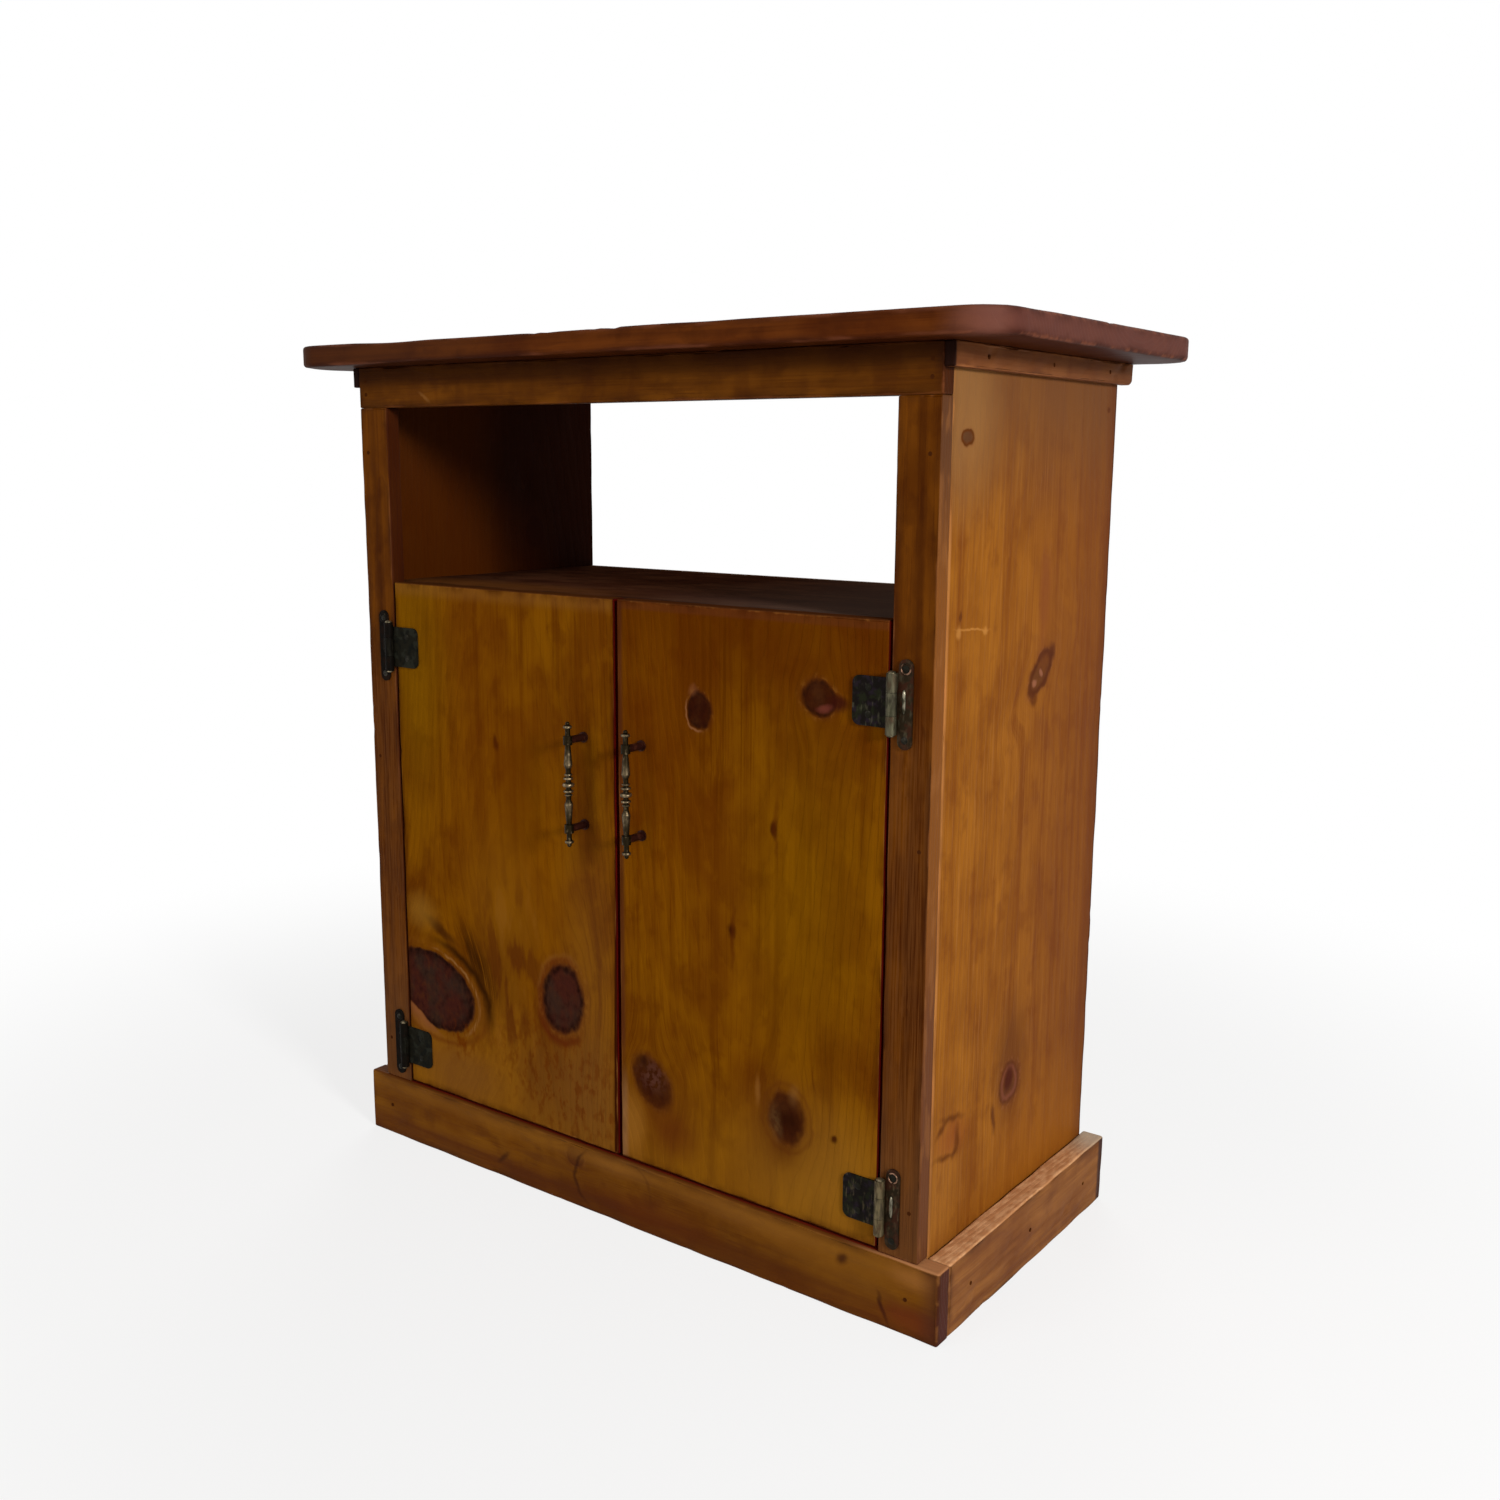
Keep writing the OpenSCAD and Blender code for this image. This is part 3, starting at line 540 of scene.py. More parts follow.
print("a rounded edge has", len(LEVEL_ANGLES), "levels and a corner", len(TURNS), "stations a side")

# %% [markdown]
# Each board is drawn in the box of its packed node, which it replaces in the picture. It stays at the origin with
# its place in its mesh, and rides on the node's body.

# %% A board in its place
SEAM = 0.06


def make_mesh(name, points, faces):
    """A smooth mesh object at the origin from points in millimetres and a list of faces."""
    mesh = bpy.data.meshes.new(name)
    mesh.from_pydata((points * MM).tolist(), [], faces)
    mesh.polygons.foreach_set("use_smooth", np.ones(len(mesh.polygons), bool))
    mesh.update()
    return link(name, mesh)


def worn_board(node, material, corner=1.4, edge=1.3, step=7.0, seed=1, shape=None, uneven=0.4, cuts=((), ())):
    """A board in the box of its node, a hair smaller all round so that neighbours show a seam."""
    low, high = box_of(node)
    order = np.argsort(low - high)
    half = ((high - low) / 2)[order] - SEAM
    points, quads = board_points(half, corner, edge, step, seed, uneven, cuts)
    if shape is not None:
        points = shape(points, half)
    placed = np.empty_like(points)
    placed[:, order] = points
    if np.linalg.det(np.eye(3)[order]) < 0:
        quads = quads[:, ::-1]
    piece = make_mesh(node + "_board", placed + (low + high) / 2, quads.tolist())
    piece.data.materials.append(material)
    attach(piece, frame["nodes"][node]["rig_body"])
    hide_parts(node)
    return piece


print("seam between neighbours:", 2 * SEAM, "mm")

# %% [markdown]
# ## The doors
#
# Each door is one wide flat-sawn board with knots that are the cabinet's strongest feature. A stain of amber and
# olive lies over them. The right door's top is painted darker and redder as painted shade, and both feet are
# painted paler as painted light. Dark red stain ran into the gaps on both long edges, and that last layer is the
# same for the two doors, so one function lays it.

# %% What both doors share
DOOR_TONES = ((124, 74, 4), (104, 56, 4), (82, 36, 2))
GAP_RED, EDGE_RED, FOOT_RED = (50, 7, 6), (82, 11, 5), (64, 18, 8)
low_left, high_left = box_of("left_door")
low_right, high_right = box_of("right_door")
door_foot, door_head, meeting_x = low_left[2], high_left[2], high_left[0]


def finish_door(wood, shut_edge, free_edge):
    """The worn top, and the dark red stain that ran into the gaps on both long edges."""
    wood.wear((146, 92, 40), (60, 24, 4), worn_share=0.6)
    wood.tint(wood.rise(door_head - 1.4, door_head - 0.4) * 0.9, (74, 38, 16))
    wood.tint(wood.rise(door_foot + 1.8, door_foot + 0.6) * 0.8, FOOT_RED)
    wood.tint(wood.across.smooth(shut_edge - 1.2, shut_edge - 0.5), GAP_RED)
    wood.tint(wood.across.smooth(shut_edge - 0.3, shut_edge - 0.12), EDGE_RED)
    wood.tint(wood.across.smooth(free_edge + 1.2, free_edge + 0.5), GAP_RED)
    return wood.done(specular=0.0)


print("doors are", round(door_head - door_foot), "mm high and meet at x =", round(meeting_x, 1))

# %% [markdown]
# The left door has a great dark knot that the hinge side cuts through, with smoky figure round it, and a tall one
# beside the meeting line. The great knot ends at a straight line at its lower left, where the wood beyond is
# pale.

# %% Left door
great_knot = Knot((-232, 165), (57, 37), -13, 1.0, 0.35, 0.05)
tall_knot = Knot((-62, 193), (24, 31), -8, 0.95, 1.0, 0.16)
wood = Pine("left_door", DOOR_TONES, (great_knot, tall_knot), pith=(10, 110), lean=(0.03, 0.10), seed=2,
            lines=0.12)
fleck = wood.clouds((6, 11, 6), 31.0, 4.0).smooth(0.48, 0.66)
swirls = wood.clouds((16, 60, 16), 33.0, 3.0)
wood.mark((-150, 350), (60, 150), 0.35, (104, 50, 2))
wood.mark((-245, 480), (34, 110), 0.5, (118, 80, 2))
wood.mark((-90, 300), (26, 120), 0.3, (128, 72, 0), turn=4)
# Painted light: the foot of the door is painted paler.
wood.tint(wood.rise(door_foot + 130, door_foot) * 0.5, (146, 96, 24))
wood.mark((-132, 262), (40, 60), 0.5, (144, 92, 14), turn=10)
wood.mark((-140, 150), (30, 50), 0.4, (144, 92, 18))
wood.mark((-48, 108), (62, 54), 0.45, (86, 48, 24), turn=-10)
wood.mark((-26, 200), (32, 130), 0.2, (122, 80, 40))
wood.mark((-62, 112), (85, 52), fleck * 0.6, (94, 40, 4), turn=-14, soft=0.7)
wood.mark((-198, 88), (46, 26), 0.5, (112, 68, 30), soft=0.7)
wood.mark((-152, 200), (24, 36), 0.4, (74, 38, 6), turn=24)
wood.mark((-112, 236), (22, 30), 0.25, (84, 42, 6))
wood.mark((-125, 200), (45, 80), swirls.smooth(0.48, 0.62) * 0.75, (84, 38, 8), soft=0.8)
wood.mark((-125, 200), (45, 80), swirls.smooth(0.45, 0.3) * 0.5, (138, 88, 26), soft=0.8)
lower_left = wood.past_line((-231, 126), 239.5)
wood.heart = wood.heart * (1 - lower_left)
wood.draw_knots()
wood.mark((-248, 148), (34, 22), lower_left * 0.6, (140, 84, 50), turn=-32, soft=0.4)
wood.rim(great_knot, 1.12, 0.06, wood.fibre.smooth(0.3, 0.6) * 0.75, (144, 98, 50), 30, 0.2)
wood.rim(great_knot, 1.36, 0.18, 0.95, (50, 24, 4), 46, 0.45)
wood.mark((-172, 206), (10, 32), wood.fibre.smooth(0.30, 0.55) * 0.9, (54, 26, 4), turn=36)
wood.mark((-220, 226), (5, 20), 0.8, (58, 26, 6), turn=62, soft=0.7)
wood.rim(great_knot, 1.3, 0.12, 0.5, (92, 40, 8), -60, 0.4)
wood.mark((-196, 122), (20, 16), fleck * 0.7, (96, 40, 2), turn=30, soft=0.8)
wood.mark((-246, 240), (18, 14), 0.5, (150, 104, 34))
wood.rim(tall_knot, 1.3, 0.16, 0.25, (140, 90, 36), 120, 0.3)
wood.rim(tall_knot, 1.35, 0.25, 0.7, (84, 28, 8), -95, 0.4)
wood.rim(tall_knot, 1.18, 0.2, 0.5, (92, 40, 12), 160, -0.2)
wood.mark((-139, 416), (3, 7), 0.8, (70, 26, 4), turn=5, soft=0.6)
wood.mark((-141, 380), (2, 14), 0.4, (84, 38, 4), soft=0.8)
wood.tint(wood.rise(door_head - 16, door_head - 5) * 0.3, (132, 88, 40))
spill = wood.rise(door_foot + 300, door_foot) * 3.4
wood.tint((wood.across + spill).smooth(meeting_x - 1.8, meeting_x - 0.6) * 0.95, (44, 9, 3))
left_door = worn_board("left_door", finish_door(wood, meeting_x, low_left[0]), seed=11)
print("left door:", len(left_door.data.polygons), "faces")

# %% [markdown]
# The right door has two soft knots near its foot and two firm ones near its top, with pin knots between. Its top
# is painted darker and redder, as painted shade, and its foot paler, as painted light. The strip beside the gap
# is darker than the board above and paler at the foot.

# %% Right door
foot_knot = Knot((41, 141), (22.5, 16), -48, 0.75, 1.0, 0.45, 0.35)
low_knot = Knot((182, 147), (16, 19.5), 4, 0.8, 1.0, 0.45, 0.35)
high_knot = Knot((92, 468), (11.5, 14.5), 10, 0.95, 0.8, 0.3)
side_knot = Knot((207, 489), (15, 13), -8, 0.85, 0.9, 0.25)
PIN_KNOTS = (((167, 382), (3.6, 6)), ((125.6, 292), (3.8, 5)), ((226.7, 142), (3, 3)))
wood = Pine("right_door", DOOR_TONES, (foot_knot, low_knot, high_knot, side_knot), pith=(-6, 120),
            lean=(-0.02, -0.08), seed=5, lines=0.14)
streaks = wood.clouds((3.2, 200, 3.2), 37.0).smooth(0.5, 0.62)
speckle = wood.clouds((5, 6, 5), 39.0, 4.0).smooth(0.42, 0.58)
# Painted shade: the top of the door is painted darker and redder.
wood.tint(wood.rise(door_head - 150, door_head) * 0.7, (80, 34, 1))
wood.mark((50, 400), (50, 110), 0.4, (98, 44, 0))
wood.mark((200, 330), (50, 110), 0.4, (116, 76, 0))
# Painted light: the foot of the door is painted paler.
wood.tint(wood.rise(door_foot + 120, door_foot) * 0.3, (152, 102, 26))
wood.mark((215, 110), (60, 50), 0.5, (150, 102, 30))
wood.mark((60, 120), (40, 50), 0.2, (86, 42, 8))
wood.mark((118, 480), (40, 90), streaks * 0.5, (74, 32, 0), soft=0.8)
wood.mark((62, 102), (24, 17), 0.6, (86, 34, 10), turn=-30)
wood.mark((18, 96), (13, 26), 0.6, (150, 98, 34), soft=0.8)
wood.mark((178, 140), (30, 42), 0.4, (80, 34, 8))
wood.mark((92, 455), (24, 40), 0.4, (84, 36, 2))
wood.mark((178, 122), (12, 14), 0.6, (76, 34, 8))
wood.rim(low_knot, 1.5, 0.2, 0.4, (88, 44, 12))
wood.draw_knots(heart=(46, 16, 7), red=(76, 32, 14), grey=(62, 34, 16))
wood.mark((42, 147), (12, 11), speckle * 0.4, (104, 66, 54), soft=0.8)
wood.mark((30, 158), (5, 4), 0.5, (34, 14, 8), soft=0.8)
wood.mark((183, 146), (9, 7), 0.6, (34, 12, 6), soft=0.8)
wood.mark((171, 141), (5, 12), 0.12 + speckle * 0.16, (118, 88, 50), turn=8)
wood.mark((188, 169), (4, 7), 0.2, (150, 106, 56), turn=-20)
wood.rim(high_knot, 1.2, 0.12, 0.7, (140, 90, 54), 205, 0.35)
wood.mark((86, 484), (4, 4), 0.3, (134, 82, 50), turn=20, soft=0.7)
wood.mark((224, 487), (8, 5), 0.9, (54, 18, 10), turn=-12, soft=0.6)
wood.mark((212, 482), (6, 2.5), 0.45, (128, 62, 50), turn=10, soft=0.7)
wood.mark((152, 163), (2.4, 10), 0.3, (156, 104, 48), soft=0.8)
for at, size in PIN_KNOTS:
    wood.mark(at, size, 0.9, (54, 18, 4), soft=0.6)
wood.mark((127, 288), (1.8, 26), 0.6, (80, 34, 4), soft=0.8)
wood.mark((168, 384), (2, 20), 0.5, (80, 34, 4), soft=0.8)
wood.tint(wood.rise(door_head - 9, door_head - 6) * 0.5, (92, 46, 22))
wood.tint(wood.across.smooth(meeting_x + 11, meeting_x + 7) * wood.rise(135, 180) * 0.6, (78, 38, 24))
wood.tint(wood.across.smooth(meeting_x + 14, meeting_x + 6) * wood.rise(155, 120) * 0.5, (156, 116, 80))
right_door = worn_board("right_door", finish_door(wood, high_right[0], low_right[0]), seed=12)
print("right door:", len(right_door.data.polygons), "faces")

# %% [markdown]
# ## The side panels
#
# The side panels are paler and more orange than the doors. Inside the bay the same panels are painted nearly
# black, partly as a dark stain and partly as painted shade that deepens towards the back. The cupboard's back
# panel lies in a rebate along the inner back edge of each side, up to the shelf. A rebate could be cut with a
# Boolean, but moving the points of a narrow strip forward keeps the mesh clean.

# %% What both side panels share
SIDE_TONES = ((138, 84, 24), (122, 71, 19), (98, 48, 12))
STEP_REACH = 3.0
face_y = box_of("right_stile")[0][1]
shelf_top = box_of("shelf")[1][2]
back_edge = box_of("right_side")[1][1]
low_back, high_back = box_of("back_panel")


def rebated(name, side):
    """A shape for a side board: its inner back edge steps forward by the back panel's thickness."""
    middle = sum(box_of(name)) / 2
    step_x, step_z = high_back[0] * side - middle[0], shelf_top - middle[2]

    def shape(points, half):
        """Moves the points of the step. Along is z, across y and depth x, from the board's middle."""
        behind = points[:, 1] > half[1] - STEP_REACH
        within = (points[:, 2] - step_x) * side < 0
        points[behind & within & (points[:, 0] < step_z), 1] -= high_back[1] - low_back[1]
        return points

    return shape, ((step_z,), (step_x,))


def side_pine(name, knots, seed):
    """Fine streaks, a back painted browner as painted shade, a darker top, a pale patch of painted light at the
    top front, and a paler foot.
    """
    wood = Pine(name, SIDE_TONES, knots, pith=(20, 150), lean=(0.01, 0.08), seed=seed, ring=5.2, lines=0.14)
    fine = wood.clouds((2.0, 110, 2.0), seed + 41, 3.0)
    wood.tint(fine.smooth(0.55, 0.7) * 0.3, (104, 52, 16))
    wood.tint(fine.smooth(0.45, 0.32) * 0.25, (158, 104, 48))
    # Painted shade: the panel is painted browner towards the back. Below that, a darker top, and painted light as
    # a pale patch at the top front corner.
    wood.tint(wood.across.smooth(face_y + 60, back_edge) * 0.6, (100, 52, 24))
    wood.tint(wood.rise(590, 740) * 0.75, (94, 60, 36))
    wood.mark((face_y + 30, 700), (46, 60), 0.55, (132, 94, 54), soft=0.7)
    wood.tint(wood.rise(180, 70) * wood.across.smooth(face_y + 40, face_y + 200) * 0.35, (150, 88, 12))
    wood.mark((face_y + 26, 110), (30, 60), 0.15, (156, 106, 54), soft=0.8)
    wood.tint(wood.rise(640, 600) * wood.across.smooth(face_y + 19, face_y + 16) * 0.7, (168, 112, 60))
    return wood


def finish_side(name, wood, side, seed):
    """Worn arrises, a dark back edge, the inside painted dark as stain and painted shade, and the rebate. Side is
    1 on the right, -1 on the left.
    """
    wood.wear((164, 104, 56), (76, 34, 12), dirt_and_shade_share=0.4)
    wood.tint(wood.across.smooth(back_edge - 26, back_edge - 3) * 0.5, (86, 42, 20))
    wood.tint(wood.across.smooth(back_edge - 4, back_edge - 1.5) * 0.7, (52, 24, 8))
    # Painted shade inside the bay: the inner face is painted nearly black, lighter at the front and darker
    # towards the back.
    middle_x = wood.middle[2] * side
    inside = (wood.depth * side).smooth(middle_x - 6, middle_x - 8)
    dark = wood.blend(wood.across.smooth(face_y + 110, face_y + 180), (62, 24, 1), (36, 7, 0))
    wood.tint(inside * (1 - wood.fibre * 0.1), dark)
    shape, cuts = rebated(name, side)
    piece = worn_board(name, wood.done(specular=0.01), seed=seed, shape=shape, cuts=cuts)
    print(name + ":", len(piece.data.polygons), "faces")


print("rebate:", round(high_back[1] - low_back[1], 1), "mm deep, up to z =", round(shelf_top, 1))

# %% [markdown]
# The right panel is seen in full. It has three soft knots, a pale scratch, a few spots of pink and umber, and
# a small swirl near its foot. The left panel isn't seen, so it gets two knots of the same kind.

# %% Side panels
PINK, UMBER, PALE = (140, 88, 64), (70, 30, 10), (164, 110, 50)
SIDE_SPOTS = (
    ((160, 492), (4, 3), 0, PINK), ((171, 499), (4, 2.4), -50, PINK), ((190, 515), (7, 5), -50, UMBER),
    ((160, 478), (6, 5), 0, UMBER), ((172, 560), (9, 34), 0, (112, 60, 28)), ((54, 543), (22, 1), -5, PALE),
    ((33, 542), (4, 4), 30, PALE), ((74, 541), (3, 3), 0, PALE), ((34, 553), (2, 4), 0, UMBER),
    ((117, 138), (3, 12), 14, UMBER), ((278, 707), (3, 2), 0, (64, 26, 8)),
)
SWIRL = (((-96, 164), (15, 2.6), -12), ((-112, 160), (8, 2.4), 34), ((-88, 144), (3.4, 10), 4),
         ((-92, 134), (5, 3), 50), ((-107, 135), (13, 2.2), -8))
top_knot = Knot((face_y + 37, 680), (8, 5.6), 0, 0.75, 0.6, 0.35)
lens_knot = Knot((face_y + 170, 499), (11, 23), -52, 0.5, 0.8, 0.35)
eye_knot = Knot((face_y + 143, 161), (17, 17), 0, 0.55, 0.8, 0.3)
wood = side_pine("right_side", (top_knot, lens_knot, eye_knot), 7)
wood.mark((face_y + 143, 180), (26, 44), 0.65, (86, 46, 18), soft=0.8)
wood.draw_knots((86, 46, 18), (88, 42, 20), (66, 26, 8), (142, 88, 52))
wood.rim(top_knot, 0.95, 0.35, 0.85, (78, 36, 4))
wood.rim(lens_knot, 0.95, 0.35, 0.6, (66, 28, 12))
wood.rim(eye_knot, 0.75, 0.25, 0.6, (112, 62, 44))
wood.mark((-1, 164), (7.5, 10), 0.9, (62, 22, 12), turn=-10, soft=0.5)
for at, size, turn, colour in SIDE_SPOTS:
    wood.mark((face_y + at[0], at[1]), size, 0.7, colour, turn, 0.6)
wood.mark((-96, 148), (20, 14), 0.5, (122, 60, 26), soft=0.8)
for at, size, turn in SWIRL:
    wood.mark(at, size, 0.7, (72, 32, 6), turn, 0.95)
finish_side("right_side", wood, 1, 7)

left_knots = (Knot((face_y + 205, 590), (12, 15), 8, 0.7, 0.7, 0.3),
              Knot((face_y + 84, 268), (15, 19), -6, 0.7, 0.7, 0.3))
wood = side_pine("left_side", left_knots, 8.5)
wood.draw_knots((84, 42, 20), (108, 54, 26), (66, 28, 8), (142, 88, 52))
finish_side("left_side", wood, -1, 8)

# %% [markdown]
# ## Stiles, rail and mouldings
#
# The stiles and the rail are browner than the panels. The stiles' outer edges are rubbed to a paler brown, which
# is darker again towards the panel near the foot, and their inner edges along the doors are painted red-black as
# painted shade. The rail's upper part is painted darker as the top's painted shadow, and its right end dark, as
# end grain under painted shade. The two stiles are mirror images, so one loop makes both and turns the across
# axis outwards.

# %% Stiles and rail
STILE_TONES = ((102, 54, 5), (82, 39, 1), (56, 19, 0))
RAIL_TONES = ((108, 60, 9), (88, 46, 4), (62, 27, 2))
outer_x = box_of("right_stile")[1][0]
for name, seed, side in (("right_stile", 12, 1), ("left_stile", 14, -1)):
    wood = Pine(name, STILE_TONES, pith=(6, 40), lean=(0.01, 0.02), seed=seed, ring=3.6, lines=0.25)
    outward = wood.across * side
    door_x = min(abs(corner[0]) for corner in box_of(name))
    wood.mark((side * (outer_x - 16), 400), (4, 330), 0.5, (50, 16, 0), soft=0.7)
    wood.tint(wood.rise(520, 440) * wood.fibre.smooth(0.66, 0.36) * 0.5, (106, 62, 26))
    wood.wear((132, 80, 46), (50, 22, 8), worn_share=0.5)
    wood.tint(wood.rise(230, 90) * 0.3, (110, 74, 44))
    # Painted shade: the inner edge beside the doors is painted red-black.
    wood.tint(outward.smooth(door_x + 1.0, door_x + 0.4) * 0.85, (52, 18, 5))
    edge = outward.smooth(outer_x - 1.4, outer_x - 0.6)
    edge_tone = wood.blend(wood.rise(560, 680), (112, 66, 27), (82, 50, 29))
    edge_tone = wood.blend(wood.rise(330, 240), edge_tone, (92, 54, 32))
    wood.tint(edge * 0.92, edge_tone)
    wood.tint(edge * wood.clouds((8, 40, 8), seed + 43).smooth(0.52, 0.66) * 0.35, (132, 84, 44))
    behind = wood.depth.smooth(wood.middle[2] + 4.5, wood.middle[2] + 7)
    wood.tint(edge * behind * wood.rise(440, 220) * 0.8, (70, 34, 14))
    worn_board(name, wood.done(), seed=seed)

wood = Pine("front_rail", RAIL_TONES, pith=(6, 60), lean=(0.01, 0.02), seed=16, ring=3.6, lines=0.2)
# The right end is painted dark: end grain, with painted shade from the moulding and the top over it.
wood.tint(wood.rise(outer_x - 2.0, outer_x - 0.6) * 0.8, (46, 20, 8))
wood.tint(wood.clouds((60, 26, 60), 45.0).smooth(0.5, 0.62) * 0.3, (66, 28, 4))
# Painted shadow: the upper part of the rail is darkened where the overhanging top shades it.
wood.tint(wood.across.smooth(722, 736) * 0.65, (46, 18, 2))
wood.mark((717, -218), (1.5, 8), 0.5, (140, 92, 44), turn=35, soft=0.6)
wood.wear((120, 66, 34), (36, 12, 4), worn_share=0.4)
worn_board("front_rail", wood.done(), seed=16)
print("the stiles' outer edges are at x =", round(outer_x, 1))

# %% [markdown]
# The mouldings under the ends of the top are small square strips, paler than the rail, with front ends painted
# near black: end grain, with painted shade.
# Their lower back corner is rounded off, which one formula on the board's points does.

# %% Mouldings
MOULDING_TONES = ((124, 76, 43), (108, 62, 33), (86, 46, 22))
EASED, EASE_RISE = 8.0, 6.0


def eased(points, half):
    """The lower back corner is rounded off: the rise times 1 - sqrt(1 - share^2) over the last part."""
    share = np.clip((points[:, 0] - half[0] + EASED) / EASED, 0, 0.999)
    lower = (half[1] - points[:, 1]) / (2 * half[1])
    points[:, 1] += lower * EASE_RISE * (1 - np.sqrt(1 - share ** 2))
    return points


for name, seed in (("right_moulding", 18), ("left_moulding", 20)):
    wood = Pine(name, MOULDING_TONES, pith=(4, 60), seed=seed, ring=3.2, lines=0.15)
    wood.wear((136, 84, 48), (60, 28, 12), dirt_and_shade_share=0.4)
    # Painted shade over end grain: the front end is painted near black.
    wood.tint(wood.rise(face_y + 4, face_y + 1), (30, 12, 6))
    worn_board(name, wood.done(), corner=1.2, edge=1.2, step=2.0, seed=seed, shape=eased)
print("mouldings: the last", EASED, "mm rise by", EASE_RISE)

# %% [markdown]
# ## The plinth
#
# The front board of the plinth has a large oval figure near its middle, a small knot at the figure's left end,
# and knocks along both edges, and its lower part is painted darker as painted shade. Shoes have rubbed its upper
# arris, most of all at the right. The side boards are paler, with a bare upper face. The pale upper faces are
# partly rubbed bare and partly painted light from above. A thin red line of stain lies on the front board's upper
# face, below the doors.

# %% Plinth
PLINTH_TONES = ((120, 72, 12), (100, 54, 5), (78, 36, 4))
PLINTH_SIDE_TONES = ((134, 86, 44), (116, 70, 34), (92, 50, 26))
FIGURE = Knot((32, -4), (34, 45))
FRONT_MARKS = (
    ((54, 2), (8, 34), 0, 0.45, (134, 86, 34)), ((20, 42), (13, 58), 0, 0.5, (82, 30, 8)),
    ((50, 140), (9, 55), 0, 0.35, (136, 88, 32)), ((45, 238), (5, 4), 20, 0.8, (48, 18, 8)),
    ((50, 305), (8, 18), 0, 0.55, (152, 98, 46)), ((16, 276), (11, 2.0), -24, 0.85, (46, 18, 8)),
    ((15, 301), (10, 20), 0, 0.55, (104, 44, 18)), ((20, -140), (8, 2.6), 50, 0.7, (52, 24, 8)),
    ((17, 150), (8, 55), 0, 0.35, (76, 36, 8)), ((34, -290), (22, 26), 0, 0.3, (84, 44, 12)),
)
plinth_x, plinth_top = box_of("plinth_front")[1][[0, 2]]
plinth_back = box_of("plinth_right")[1][1]


def plinth_pine(name, tones, seed, knots=()):
    """Pine with brown streaks along the board."""
    wood = Pine(name, tones, knots, pith=(10, 70), lean=(0.02, 0.05), seed=seed, ring=4.0, lines=0.16)
    wood.tint(wood.clouds((9, 90, 9), seed + 47, 3.0).smooth(0.48, 0.66) * 0.35, (84, 42, 16))
    return wood


def rub_plinth(wood, worn, worn_share, worn_and_lit_top):
    """Worn arrises, and the tone of the upper face: rubbed, with painted light from above."""
    wood.wear(worn, (56, 26, 10), worn_width=3.0, worn_share=worn_share)
    # Wear and painted light: the upper face takes a paler tone.
    wood.tint(wood.across.smooth(plinth_top - 1.6, plinth_top - 0.6) * 0.85, worn_and_lit_top)


wood = plinth_pine("plinth_front", PLINTH_TONES, 22, [Knot((48, -48.5), (8, 10), 0, 0.4, 0.5, 0.5)])
wood.draw_knots((60, 26, 12), (90, 42, 16), (50, 20, 8), (140, 90, 40))
# Painted shade: the lower part of the front is painted darker.
wood.tint(wood.across.smooth(28, 14) * 0.5, (80, 36, 14))
wood.tint(wood.across.smooth(40, 52) * 0.4, (134, 86, 28))
wood.mark((20, 60), (30, 150), 0.35, (66, 32, 6), soft=0.8)
wood.mark((42, 240), (20, 70), 0.4, (138, 90, 26), soft=0.8)
for at, size, turn, share, colour in FRONT_MARKS:
    wood.mark(at, size, share, colour, turn, 0.8)
wood.rim(FIGURE, 1.0, 0.07, 0.65, (46, 18, 6), -90, 0.5)
wood.rim(FIGURE, 1.0, 0.07, 0.4, (56, 26, 8), 62, 0.7)
wood.tint(wood.rise(plinth_x - 22, plinth_x - 4) * 0.6, (76, 40, 26))
wood.tint(wood.rise(plinth_x - 1.6, plinth_x - 0.6) * 0.9, (66, 34, 28))
rub_plinth(wood, (134, 86, 40), 0.5, wood.blend(wood.rise(225, 310), (86, 44, 12), (176, 120, 78)))
under = wood.across.smooth(plinth_top - 0.8, plinth_top - 0.3) * wood.depth.smooth(face_y, face_y + 1)
between = wood.rise(outer_x - 1, outer_x - 3) * wood.rise(1 - outer_x, 3 - outer_x)
wood.tint(under * between, (104, 30, 14))
worn_board("plinth_front", wood.done(), corner=2.0, edge=2.2, seed=22)

for name, seed in (("plinth_left", 24), ("plinth_right", 26)):
    wood = plinth_pine(name, PLINTH_SIDE_TONES, seed)
    wood.tint(wood.rise(plinth_back - 12, plinth_back - 7) * 0.9, (50, 32, 30))
    mottle = wood.clouds((5, 12, 5), 49.0, 4.0).smooth(0.4, 0.65)
    # The bare upper face, painted paler partly as painted light from above.
    bare_and_lit = wood.blend(mottle, (196, 138, 92), (222, 168, 120))
    bare_and_lit = wood.blend(wood.rise(plinth_back - 60, plinth_back - 12) * 0.8, bare_and_lit, (178, 160, 136))
    rub_plinth(wood, (150, 102, 66), 0.4, bare_and_lit)
    worn_board(name, wood.done(), corner=2.0, edge=2.2, seed=seed)
print("plinth top at", round(plinth_top, 1), "mm")

# %% [markdown]
# ## Shelf, bottom, battens and back
#
# The shelf and the bottom board are dark and matt, and painted a little greyer to the right as painted light,
# where the light falls in. The battens are bare sawn pine, and the cupboard's back is thin stained plywood, whose
# rings are wide because a veneer is peeled round the tree. None of these is seen well, so plain boards are
# enough.

